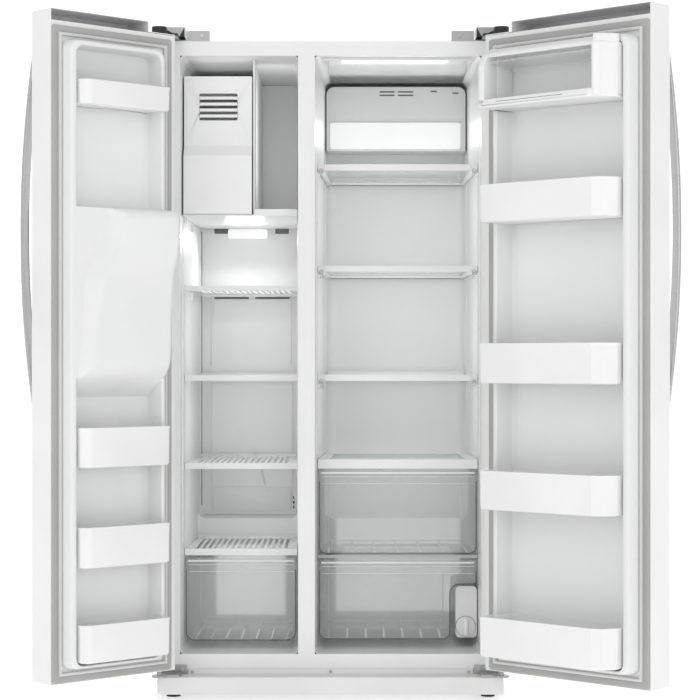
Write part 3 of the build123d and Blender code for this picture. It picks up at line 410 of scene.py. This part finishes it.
# --- door bins ----------------------------------------------------------------------------------
def bin_outline(width, reach):
    """A bin in plan: square at the hinge side, swept back towards the dyke at the free side."""
    deep = reach > 80
    step, sweep, shoulder = (48.0, 46.0, 60.0) if deep else (42.5, 24.0, 44.0)
    free = width - 56.0
    points = [(79, -12), (79, step), (62, step), (62, reach), (free - sweep, reach),
              (free - sweep * 0.42, reach - (reach - shoulder) * 0.3), (free, shoulder), (free, -12)]
    return rounded(points, [3, 2, 3, 9, 14, 14, 6, 3], 5)


def door_bin(s, i, z0, z1):
    """One bin on a door, a drafted tray with a lip."""
    width, reach = DOOR_W[s], 64.0 if s < 0 else 106.0
    outline = bin_outline(width, reach)
    verts, faces = tray(outline, z0, z1, 2.5, 2.5, lambda a, p, z: door_point(s, a, p, z), draft=1.2,
                        foot=7, lip=0.9, lip_h=5)
    name = SIDE_NAME[s]
    make(f"{name}_bin_tray_{i}", verts, faces, "white_plastic", f"{name}_door", "white_plastic",
         [f"{name}_bin_{i}"], smooth=30)


BINS_Z = {
    -1: [(1528, 1590), (625, 725), (376, 478), (140, 236)],
    1: [(1242, 1339), (834, 936), (513, 613), (140, 242)],
}
for s, heights in BINS_Z.items():
    for i, (z0, z1) in enumerate(heights):
        door_bin(s, i + 1, z0, z1)


# --- door liners --------------------------------------------------------------------------------
def liner_rings(s, dyke, t):
    """Rings of the liner's face from the recess floor out to the flange's edge, moved back by t."""
    width = DOOR_W[s]
    rings = []

    def ring(a0, a1, z0, z1, r, p):
        line = rounded(rect(a0, a1, z0, z1), r, 6)
        rings.append([door_point(s, q.x, p, q.y) for q in line])

    a0, a1, z0, z1 = 75 - t, width - 52 + t, 134 - t, 1674 + t
    f = -15 - t
    ring(a0 + 9, a1 - 9, z0 + 9, z1 - 9, 14, f)
    ring(a0 + 3, a1 - 3, z0 + 3, z1 - 3, 20, f + 2.2)
    ring(a0, a1, z0, z1, 22, f + 9)
    top = dyke - t
    ring(a0 - 0.6, a1 + 0.6, z0 - 0.6, z1 + 0.6, 22, top - 4)
    ring(a0 - 1.6, a1 + 1.6, z0 - 1.6, z1 + 1.6, 22, top - 1.2)
    ring(a0 - 3.6, a1 + 3.6, z0 - 3.6, z1 + 3.6, 24, top)
    b0, b1, y0, y1 = 60 + t, width - 30 - t, 125 + t, 1690 - t
    k = 3.0
    ring(b0 + k + 2.6, b1 - k - 2.6, y0 + k + 1.6, y1 - k - 2.6, 24, top)
    ring(b0 + k + 0.7, b1 - k - 0.7, y0 + k + 0.4, y1 - k - 0.7, 25, top - 1.5)
    ring(b0 + k - 0.2, b1 - k + 0.2, y0 + k - 0.4, y1 - k + 0.2, 25, top - 5)
    ring(b0, b1, y0, y1, 24, 4 - t)
    ring(b0 - 1.4, b1 + 1.4, y0 - 1.4, y1 + 1.4, 25, 0.8 - t)
    ring(b0 - 4, b1 + 4, y0 - 4, y1 + 4, 28, -t)
    ring(2.4, width - 2.4, 91, 1735.8, 2, -t)
    return rings


def smooth_table(rows, t):
    """A table of values run through smoothly, t counted in rows."""
    i = min(int(t), len(rows) - 2)
    f = t - i
    p = [rows[max(0, min(len(rows) - 1, i + k))] for k in (-1, 0, 1, 2)]
    return [
        0.5 * (2 * b + (c - a) * f + (2 * a - 5 * b + 4 * c - d) * f * f + (3 * b - a - 3 * c + d) * f ** 3)
        for a, b, c, d in zip(*p)
    ]


def bulge():
    """The dispenser's bulge: it stands out most at the hinge side, and a flank runs down to the dyke."""
    # height, reach at the hinge side, reach at the face's edge, where that edge is, the flank's foot
    rows = [(801.0, -13.0, -13.2, 322.0, 332.0), (812.0, 0.0, -2.0, 322.0, 332.0),
            (826.0, 18.0, 16.0, 322.0, 332.0), (845.0, 40.0, 37.0, 321.0, 332.0),
            (862.0, 56.0, 50.0, 318.0, 331.0), (880.0, 67.0, 58.0, 313.0, 329.0),
            (900.0, 72.0, 62.0, 307.0, 325.0), (945.0, 74.0, 64.0, 299.0, 319.0),
            (1016.0, 75.5, 65.0, 288.0, 316.0), (1070.0, 79.0, 66.0, 277.0, 313.0),
            (1106.0, 85.0, 67.0, 265.0, 307.0), (1140.0, 96.0, 70.0, 250.0, 290.0),
            (1168.0, 105.0, 72.5, 236.0, 271.0), (1200.0, 110.0, 73.0, 225.0, 251.0),
            (1231.0, 111.0, 72.5, 218.0, 240.0), (1250.0, 109.5, 71.5, 215.0, 236.0),
            (1262.0, 104.0, 69.0, 213.0, 235.0), (1269.0, 95.0, 64.0, 212.0, 234.0),
            (1273.0, 83.0, 57.0, 211.0, 233.0), (1274.0, 77.0, 53.0, 210.0, 232.0)]
    rings = []
    count = 110
    for i in range(count + 1):
        z, p_hinge, p_face, a_face, a_foot = smooth_table(rows, i / count * (len(rows) - 1))
        land = min(p_face - 1.5, DYKE_P[-1] + 0.15)
        points = [(64, -16), (64.5, p_hinge), (a_face, p_face), (a_foot, land), (346.0, land),
                  (346.0, -16)]
        r = max(0.4, min(11.0, (p_hinge + 16) * 0.35))
        line = rounded(points, [0, r, r, r * 1.1, 0.3, 0], 7)
        rings.append([door_point(-1, q.x, q.y, z) for q in line])
    return loft(rings)


for s, dyke in DYKE_P.items():
    verts, faces = loft(liner_rings(s, dyke, 0.0) + liner_rings(s, dyke, DOOR_SHEET)[::-1])
    name = f"{SIDE_NAME[s]}_door"
    make(f"{name}_inner", verts, faces, "liner_plastic", name, "liner_plastic", [f"{name}_liner"],
         smooth=40)
make("dispenser_bulge", *bulge(), "liner_plastic", "freezer_door", "liner_plastic", smooth=40)


# --- bay liners ---------------------------------------------------------------------------------
def liner_ring(s, d, low, inset, t):
    """A bay's section at one depth, its corners rounded; t is the way out through the sheet."""
    x0, x1 = wall_x(s, 0, d) + inset - t, wall_x(s, 1, d) - inset + t
    z0, z1 = low + inset - t, BAY_CEILING - inset + t
    line = rounded(rect(x0, x1, z0, z1), 16.0 + t + (0 if d < 30 else 4), 6)
    return [bay_point(q.x, d, q.y) for q in line]


def bay_liner(s):
    """A bay's liner: drafted walls, rounded corners and the step over the machine compartment."""
    depth = BAY[s][2]
    # depth, height of the floor there, inset of all four walls
    profile = [(0.4, BAY_FLOOR, -1.5), (3.0, BAY_FLOOR, 0.0), (12.0, BAY_FLOOR, 0.0), (16.0, BAY_FLOOR, 0.0),
               (470.0, BAY_FLOOR, 0.0), (488.0, BAY_FLOOR + 2.5, 0.6), (494.4, BAY_FLOOR + 13, 0.6),
               (494.9, STEP_FLOOR - 16, 0.6), (496.5, STEP_FLOOR - 4, 0.6), (508.0, STEP_FLOOR, 0.0),
               (depth - 26.0, STEP_FLOOR, 0.0), (depth - 9.0, STEP_FLOOR, 5.0),
               (depth - 2.0, STEP_FLOOR, 15.0), (depth, STEP_FLOOR, 26.0)]
    inner = [liner_ring(s, d, low, inset, 0.0) for d, low, inset in profile]
    outer = [liner_ring(s, d + (BAY_SHEET if d > 400 else 0.0), low, inset, BAY_SHEET)
             for d, low, inset in profile]
    outer[0] = liner_ring(s, 0.4, BAY_FLOOR, 0.0, 1.9)
    verts, faces = loft(inner[::-1] + outer)
    name = f"{SIDE_NAME[s]}_liner"
    make(f"{name}_inner", verts, faces, "liner_plastic", "cabinet", "liner_plastic", [name], smooth=38)


for s in (-1, 1):
    bay_liner(s)


# --- bars, plates and tubes placed in the bays --------------------------------------------------
def bar(x0, x1, d0, d1, z0, z1, r=1.0, steps=2):
    """A bar with rounded long edges, its section in depth and height."""
    line = rounded(rect(d0, d1, z0, z1), r, steps)
    e = min(r, 1.0)
    return loft(inset_rings(line, ((x0, e), (x0 + e, 0), (x1 - e, 0), (x1, e)), bay_point))


def panel(x0, x1, z0, z1, d0, d1, r, e=1.0, steps=5):
    """A plate facing the front with rounded corners and softened edges."""
    line = rounded(rect(x0, x1, z0, z1), r, steps)
    stations = ((d1, 0), (d0 + e, 0), (d0 + e * 0.3, e * 0.3), (d0, e))
    return loft(inset_rings(line, stations, lambda d, x, z: bay_point(x, d, z)))


def tube(path, r, sides=8):
    """A round bar along a path of points in metres."""
    rings = []
    turns = [2 * math.pi * k / sides for k in range(sides)]
    for i, q in enumerate(path):
        along = (path[min(i + 1, len(path) - 1)] - path[max(i - 1, 0)]).normalized()
        side = along.cross(Vector((0, 0, 1)) if abs(along.z) < 0.9 else Vector((0, 1, 0))).normalized()
        up = along.cross(side)
        rings.append([q + (side * math.cos(t) + up * math.sin(t)) * r / 1000 for t in turns])
    return loft(rings)


# --- side wall rails, in pairs, with the rungs that the shelves hook into -----------------------
RAIL_Z = {-1: (402.0, 1262.0), 1: (640.0, 1490.0)}
RUNGS_Z = {-1: [1068, 960, 826, 716, 588, 480], 1: [1394, 1262, 1121, 980, 826, 700]}
RAIL_SECTION = ((0, -3), (2.0, -2.2), (2.6, 0), (2.0, 2.2), (0, 3))
RUNG_D = 72.0


def shelf_rails(s):
    """Two pairs of rails on each wall of a bay; the front pairs carry the rungs."""
    parts = []
    depth = BAY[s][2]
    for side, sign in ((0, 1), (1, -1)):
        for d in (RUNG_D - 6, RUNG_D + 6, depth - 90.0, depth - 78.0):
            x = wall_x(s, side, d) - sign * 0.4
            parts.append(loft([[bay_point(x + sign * u, d + v, z) for u, v in RAIL_SECTION]
                               for z in RAIL_Z[s]]))
        for z in RUNGS_Z[s]:
            x = wall_x(s, side, RUNG_D) + sign * 0.5
            parts.append(loft([[bay_point(x + sign * u, RUNG_D + v, z + w) for v, w in rect(-8, 8, -3, 3)]
                               for u in (0.0, 3.0)]))
    make(f"{SIDE_NAME[s]}_shelf_rails", *join(*parts), "white_plastic", "cabinet", "white_plastic",
         bevel=0.5)


for s in (-1, 1):
    shelf_rails(s)


# --- drawers ------------------------------------------------------------------------------------
def drawer_lines(s, z0, z1, corner, cut):
    """The drawer's section at any depth and inset, from its left rim down and round to its right."""
    def line(d, inset):
        lean = 3.0 * (d - DRAWER_FRONT) / (DRAWER_BACK - DRAWER_FRONT)
        x0 = wall_x(s, 0, d) + DRAWER_GAP + inset + lean
        x1 = wall_x(s, 1, d) - DRAWER_GAP - inset - lean
        low = z0 + inset
        r = max(2.0, corner - inset)
        if cut:
            xc, zc = cut
            pts = [(x0, z1), (x0, low), (xc - inset, low), (xc - inset, zc + inset), (x1, zc + inset),
                   (x1, z1)]
            radii = [0, r, r, 26, 8, 0]
        else:
            pts = [(x0, z1), (x0, low), (x1, low), (x1, z1)]
            radii = [0, r, r, 0]
        return rounded(pts, radii, 7)
    return line


def drawer(name, s, z0, z1, corner, cut=None):
    """A clear tub with rounded lower corners, bands across its front and ribs along its floor."""
    line = drawer_lines(s, z0, z1, corner, cut)
    d0, d1 = DRAWER_FRONT, DRAWER_BACK
    # depth and inset of each section, outside from front to back and inside from back to front
    outer = [(d0, 2.4), (d0 + 0.8, 0.6), (d0 + 2.4, 0.0), (d1 - 3.0, 0.0), (d1 - 0.8, 0.8), (d1, 3.0)]
    inner = [(d1 - 2.6, 3.4), (d1 - 5.0, 2.6), (d0 + 6.0, 2.6), (d0 + 3.4, 3.6)]
    rings = [[bay_point(q.x, d, q.y) for q in line(d, inset)] for d, inset in outer + inner]
    n, m = len(rings[0]), len(rings)
    back, front, last = len(outer) - 1, len(outer), m - 1
    verts = [v for r in rings for v in r]
    faces = []
    for i in range(last):
        if i != back:
            j = i + 1
            faces += [(i * n + k, i * n + k + 1, j * n + k + 1, j * n + k) for k in range(n - 1)]
    for i in (0, back, front, last):
        faces.append(tuple(i * n + k for k in range(n)))
    for end in (0, n - 1):
        faces.append(tuple(i * n + end for i in range(m)))
    faces.append((0, n - 1, last * n + n - 1, last * n))
    faces.append((back * n, back * n + n - 1, front * n + n - 1, front * n))
    x0, x1 = wall_x(s, 0, d0) + DRAWER_GAP, wall_x(s, 1, d0) - DRAWER_GAP
    make(f"{name}_tub", verts, faces, "clear_plastic", name, "clear_plastic", [name], smooth=38)

    clear = []
    for z, h, out in ((z1 - 5.0, 5.0, 4.6), (z1 - 17.0, 1.6, 2.2), (z1 - 36.0, 1.4, 1.6)):
        clear.append(bar(x0 + 6, x1 - 6, d0 - out, d0 + 0.6, z - h, z, 1.2))
    x_end = cut[0] if cut else x1
    for k in range(7):
        x = x0 + 26 + (x_end - x0 - 52) * k / 6
        clear.append(bar(x - 3.2, x + 3.2, d0 + 8, d1 - 12, z0 + 2.8, z0 + 4.6, 0.8))
    make(f"{name}_ribs", *join(*clear), "trim_bright", name, "clear_plastic")

    edge_line = [bay_point(q.x, d0 - 0.4, q.y) for q in line(d0, 1.6)]
    edge_line[0].z -= 0.03
    edge_line[-1].z -= 0.03
    back_line = [bay_point(q.x, d1 - 5.8, q.y) for q in line(d1, 4.0)]
    make(f"{name}_edge", *tube(edge_line, 1.25, 6), "drawer_edge", name, "clear_plastic", smooth=60)
    make(f"{name}_back_edge", *tube(back_line, 0.9, 6), "trim_bright", name, "clear_plastic", smooth=60)


drawer("freezer_drawer", -1, 137.0, 360.0, 24.0)
drawer("crisper_upper", 1, 371.0, 597.0, 20.0)
drawer("crisper_lower", 1, 140.0, 355.0, 20.0, (322.0, 288.0))


# --- fridge shelves: front trims, rear lines of painted shade and end brackets with their hooks ---
trims, lines, clips = [], [], []
for z0, z1 in ((1406, 1422), (1133, 1148), (838, 855)):
    x0, x1 = wall_x(1, 0, 104) + 3.5, wall_x(1, 1, 104) - 3.5
    trims.append(bar(x0 + 16, x1 - 16, 102.0, 105.0, z0 - 0.5, z1 + 0.5, 1.4, 3))
    b0, b1 = wall_x(1, 0, 588) + 3, wall_x(1, 1, 588) - 3
    # a dark strip under each shelf's rear bar: painted shade
    lines.append(bar(b0, b1, 586.6, 588.2, z0 - 1.0, z0 + 1.2, 0.5, 1))
    for x, sign in ((x0, 1), (x1, -1)):
        for drop, size in ((2.0, 6.5), (17.0, 5.0)):
            path = []
            for k in range(11):
                t = math.radians(-60 + 27 * k)
                out = 8.5 + size * math.cos(t) * 0.7
                path.append(bay_point(x + sign * out, 100.8, z0 - drop + size * math.sin(t)))
            clips.append(tube(path, 0.9, 6))
        ends = sorted((x, x + sign * 13))
        clips.append(bar(*ends, 101.5, 112, z0 - 9, z0 - 1.5, 1.5, 3))
make("fridge_shelf_trims", *join(*trims), "trim_bright", "cabinet", "white_plastic")
make("fridge_shelf_shade_lines", *join(*lines), "shadow_line", "cabinet", "white_plastic")
make("fridge_shelf_clips", *join(*clips), "bracket_clear", "cabinet", "clear_plastic", smooth=60)


# --- dairy bin ----------------------------------------------------------------------------------
def door_profile(s, points, a0, a1, e=1.2, r=2.0, steps=4):
    """A closed outline in p and z, run along the door's width with softened ends."""
    line = rounded(points, r, steps)
    stations = ((a0, e), (a0 + e * 0.3, e * 0.3), (a0 + e, 0), (a1 - e, 0), (a1 - e * 0.3, e * 0.3), (a1, e))
    return loft(inset_rings(line, stations, lambda a, p, z: door_point(s, a, p, z)))


def door_stack(s, points, r, steps, heights):
    """A closed outline in plan, stacked up the door with an inset at each height."""
    line = rounded(points, r, steps)
    return loft(inset_rings(line, heights, lambda z, a, p: door_point(s, a, p, z)))


def dairy_bin():
    """Tray, front lip, hinge-side cheek, hood over the top and a swept wall at the free side."""
    z0, z1, top = 1532.0, 1667.5, 1688.0
    reach, free, wedge = 106.0, 461.5, 407.5
    parts = []
    floor = [(79, -12), (79, 50), (62, 50), (62, reach), (405, reach), (440, 92), (free, 62), (free, -12)]
    parts.append(door_stack(1, floor, [3, 2, 3, 8, 30, 30, 8, 3], 6,
                            ((z0, 5), (z0 + 1.5, 1.5), (z0 + 5, 0), (z0 + 8, 0), (z0 + 8, 4))))
    lip = [(64, reach - 3), (64, reach), (405, reach), (438, 93), (434, 91), (404, reach - 3)]
    parts.append(door_stack(1, lip, [1, 2, 24, 2, 2, 24], 5, ((z0 + 6, 0), (z0 + 21, 0), (z0 + 22, 0.7))))
    cheek = [(51, z0 + 4), (reach, z0 + 4), (reach, top - 47), (reach - 14, top - 22), (reach - 48, top),
             (51, top)]
    parts.append(door_profile(1, cheek, 62.0, 81.0, 2.5, [3, 8, 20, 16, 5, 2], 6))
    parts.append(door_profile(1, rect(-11, 52, z0 + 4, z1), 79.3, 81.3, 0.6, 4))
    hood = [(reach - 12, top - 27), (reach - 17, top - 16), (reach - 46, top - 1), (51, top - 1),
            (51, z1 - 3), (66, z1 - 3)]
    parts.append(door_profile(1, hood, 70.0, 430.0, 1.0, [1, 10, 12, 2, 1, 4], 5))
    wall = [(wedge, -11), (wedge, 92), (416, reach - 0.5), (436, 95), (free, 62), (free, -11)]
    parts.append(door_stack(1, wall, [2, 5, 10, 26, 8, 3], 6,
                            ((z0 + 4, 0), (z1 - 6, 0), (z1 - 1.5, 1.0), (z1 - 0.5, 3.0))))
    block = [(wedge, 51), (wedge, 88), (416, 100), (434, 91), (free, 61), (free, 51)]
    parts.append(door_stack(1, block, [1, 4, 8, 20, 6, 1], 5,
                            ((z1 - 8, 0), (top - 8, 0), (top - 1.5, 1.5), (top - 0.2, 5.0))))
    make("dairy_bin_shell", *join(*parts), "white_plastic", "fridge_door", "white_plastic", ["dairy_bin"],
         smooth=40)
    # a dark strip where the lip's groove is: painted shade in the groove
    groove = rect(reach - 0.6, reach + 0.25, z0 + 13.2, z0 + 14.6)
    make("dairy_bin_groove_shade", *door_profile(1, groove, 120.0, 330.0, 0.2, 0.2, 1), "shadow_line",
         "fridge_door", "white_plastic")


dairy_bin()


# --- fridge: ceiling steps, trim round the lamp's lens, the duct cover's seam and vents with painted shade ---
parts = [bar(wall_x(1, 0, 40) + 22, wall_x(1, 1, 40) - 22, 36, 48, 1692.5, 1700.5, 3.5, 4),
         bar(wall_x(1, 0, 500) + 14, wall_x(1, 1, 500) - 14, 52, 506, 1696.5, 1700.5, 1.8, 3)]
make("fridge_ceiling_step", *join(*parts), "trim_bright", "cabinet", "liner_plastic")
parts = [bar(-10, 375, DUCT_COVER_D - 4.5, DUCT_COVER_D + 0.5, 1582.5, 1585.5, 1.2, 2),
         bar(-10, 375, DUCT_COVER_D - 8, DUCT_COVER_D + 0.5, 1499.0, 1503.0, 1.5, 2)]
make("fridge_lens_trim", *join(*parts), "white_plastic", "cabinet", "white_plastic")
x0, x1 = [wall_x(1, side, DUCT_COVER_D) + gap for side, gap in ((0, 2.6), (1, -2.6))]
outline = rounded([(x0, 1500), (x0, 1687), (x1, 1687), (x1, 1500)], [0, 24, 24, 0], 7)
seam = [bay_point(q.x, DUCT_COVER_D - 0.4, q.y) for q in outline]
make("fridge_duct_seam", *tube(seam, 1.3, 6), "drawer_edge", "cabinet", "liner_plastic", smooth=60)
# dark plates behind and over the vent slots: painted shade in the slots
parts = []
for z in (1672.0, 1662.0):
    for a, b in ((137, 181), (190, 235)):
        parts.append(panel(a, b, z - 2.2, z + 2.2, DUCT_COVER_D + 2.5, DUCT_COVER_D + 4, 2.0, 0.3, 3))
for a, b, z in ((285, 303, 1673.0), (348, 366, 1668.0)):
    parts.append(panel(a, b, z - 2.0, z + 2.0, DUCT_COVER_D - 1.3, DUCT_COVER_D + 0.2, 1.0, 0.3, 3))
make("fridge_vent_shade", *join(*parts), "shadow_line", "cabinet", "liner_plastic")


# --- freezer: frames on the rear cover, painted shade in its slots, the corner seam and the wall's hooks ----
c = FREEZER_COVER_D
parts = []
for z0, z1, x0, x1 in ((880, 1100, -356, -120), (452, 828, -356, -116)):
    for a, b, low, high in ((x0, x0 + 5, z0, z1), (x1 - 5, x1, z0, z1), (x0, x1, z1 - 5, z1)):
        parts.append(panel(a, b, low, high, c - 3.2, c + 0.4, 2.2, 1.2, 3))
parts.append(panel(-350, -122, 452, 524, c - 2.6, c + 0.4, 8, 2.0, 4))
make("freezer_panel_frames", *join(*parts), "liner_plastic", "cabinet", "liner_plastic")
# dark plates behind and over the rear cover's slots: painted shade in the slots
parts = []
for a, b in ((-347, -245), (-227, -125)):
    parts.append(panel(a, b, 1073.5, 1079.5, c + 1.6, c + 2.8, 2.6, 0.3, 3))
for a, b in ((-346, -306), (-168, -128)):
    parts.append(panel(a, b, 1264.5, 1282.5, c - 0.8, c + 1.6, 3.0, 0.6, 4))
make("freezer_slot_shade", *join(*parts), "shadow_line", "cabinet", "liner_plastic")
seam = [bay_point(wall_x(-1, 0, c - 2) + 3.4, c - 2, z) for z in (470, 760, 1060, 1270)]
make("freezer_panel_seam", *tube(seam, 1.6, 6), "bracket_clear", "cabinet", "liner_plastic", smooth=60)
parts = []
for z0, z1, d in ((1262, 1285, 110), (1078, 1094, 110), (1062, 1078, 300), (1252, 1268, 300)):
    x = wall_x(-1, 0, d)
    shape = ((-9, z0), (9, z0), (9, z1), (5, z1 + 3), (-9, z1 + 3))
    parts.append(loft([[bay_point(x + u, d + v, z) for v, z in shape] for u in (-0.3, 4.5, 5.5)]))
make("freezer_wall_hooks", *join(*parts), "trim_bright", "cabinet", "liner_plastic", bevel=0.8)


# --- water filter: the seam round its cartridge and the grip ------------------------------------
turns = [math.pi * 2 * k / 40 for k in range(41)]
seam = [bay_point(FILTER_X + FILTER_R * math.cos(t), 119.6, FILTER_Z + FILTER_R * math.sin(t))
        for t in turns]
make("filter_seam", *tube(seam, 0.9, 6), "drawer_edge", "filter_cartridge", "filter_plastic", smooth=60)
grip = panel(FILTER_X - 4.8, FILTER_X + 4.8, FILTER_Z - 23, FILTER_Z + 23, 98.6, 113, 4.5, 2.0, 5)
make("filter_grip", *grip, "trim_bright", "filter_cartridge", "filter_plastic", smooth=40)


# --- ice bucket: a raised bead up the left of its front -----------------------------------------
x = wall_x(-1, 0, 62) + 11.5
bead = [bay_point(u, 61.9, z) for u, z in ((x, 1478), (x, 1632), (x + 4, 1642), (x + 14, 1646))]
make("ice_bucket_bead", *tube(bead, 1.3, 8), "white_plastic", "ice_bucket", "ice_maker_plastic", smooth=60)


# --- upper hinges: black arms and caps under a grey cover ---------------------------------------
hinge = nodes["hinge_brackets"]
hinge.data.materials.append(MAT["black_plastic"])
for f in hinge.data.polygons:
    y, rise = f.center.y * 1000, f.center.z * 1000 - TOP
    cap = 3.2 < rise < 26.5 and y < -362.2
    arm = 2.9 < rise < 12 and y > -358
    if cap or arm:
        f.material_index = 1


# --- camera, light and floor --------------------------------------------------------------------
camera = bpy.data.cameras.new("camera")
camera.lens = 105.95
camera.sensor_width = 36
camera.shift_y = 0.0177
camera.clip_end = 100
view = bpy.data.objects.new("camera", camera)
view.location = (0.0514, -5.818, 0.8876)
view.rotation_euler = (math.radians(90), 0, 0)
scene.collection.objects.link(view)
scene.camera = view
scene.view_settings.view_transform = "Standard"
scene.view_settings.look = "None"

world = bpy.data.worlds.new("studio")
world.use_nodes = True
world.node_tree.nodes["Background"].inputs["Color"].default_value = (1, 1, 1, 1)
world.node_tree.nodes["Background"].inputs["Strength"].default_value = 0.68
scene.world = world


def light(name, place, target, size, power):
    """A rectangular area light at a place, turned to its target."""
    data = bpy.data.lights.new(name, "AREA")
    data.shape = "RECTANGLE"
    data.size, data.size_y = size
    data.energy = power
    o = bpy.data.objects.new(name, data)
    o.location = place
    o.rotation_euler = (Vector(target) - Vector(place)).to_track_quat("-Z", "Y").to_euler()
    scene.collection.objects.link(o)


# two soft studio lights, the lamps of both bays, and panels that fill the bays and drawer wells
light("key", (-1.6, -4.6, 3.4), (0, 0, 0.9), (2.4, 2.4), 27)
light("fill", (2.6, -4.2, 2.0), (0, 0, 0.9), (2.0, 2.4), 15)
light("fridge_lamp", (0.18, 0.1, 1.54), (0.18, -0.6, 1.4), (0.3, 0.05), 0.4)
light("freezer_lamp", (-0.25, 0.12, 1.24), (-0.25, -0.1, 0.9), (0.1, 0.04), 0.45)
light("fridge_bay", (0.19, -0.235, 1.05), (0.19, 0.2, 1.05), (0.34, 0.8), 0.95)
light("freezer_bay", (-0.235, -0.235, 0.79), (-0.235, 0.2, 0.79), (0.2, 0.76), 0.62)
light("freezer_top", (-0.16, -0.22, 1.5), (-0.16, 0.2, 1.5), (0.07, 0.3), 0.22)
light("ice_room", (-0.29, -0.2, 1.66), (-0.29, -0.2, 2.0), (0.16, 0.24), 0.06)
light("crisper_well", (0.19, 0.13, 0.38), (0.19, 0.5, 0.38), (0.36, 0.42), 0.24)
light("drawer_well", (-0.235, 0.13, 0.26), (-0.235, 0.5, 0.26), (0.2, 0.2), 0.07)


def stage_floor():
    """A pale floor that sweeps up into a wall behind the object."""
    rows = [(-24, 0), (-16, 0), (-9, 0), (-4.75, 0), (-0.5, 0), (3.75, 0), (8, 0)]
    rows += [(8 + 3 * math.sin(a), 3 - 3 * math.cos(a)) for a in [math.pi / 2 * k / 12 for k in range(1, 13)]]
    rows += [(11, 8)]
    verts = [Vector((x, y, z)) for y, z in rows for x in (-24, 24)]
    faces = [(2 * i, 2 * i + 1, 2 * i + 3, 2 * i + 2) for i in range(len(rows) - 1)]
    mesh = bpy.data.meshes.new("studio_floor")
    mesh.from_pydata(verts, [], faces)
    mesh.shade_smooth()
    mesh.materials.append(material("studio_floor", (0.93, 0.93, 0.93), 0.8, bump=0.05, scale=40, mottle=0.005,
                                   glow=0.45))
    o = bpy.data.objects.new("studio_floor", mesh)
    scene.collection.objects.link(o)


stage_floor()
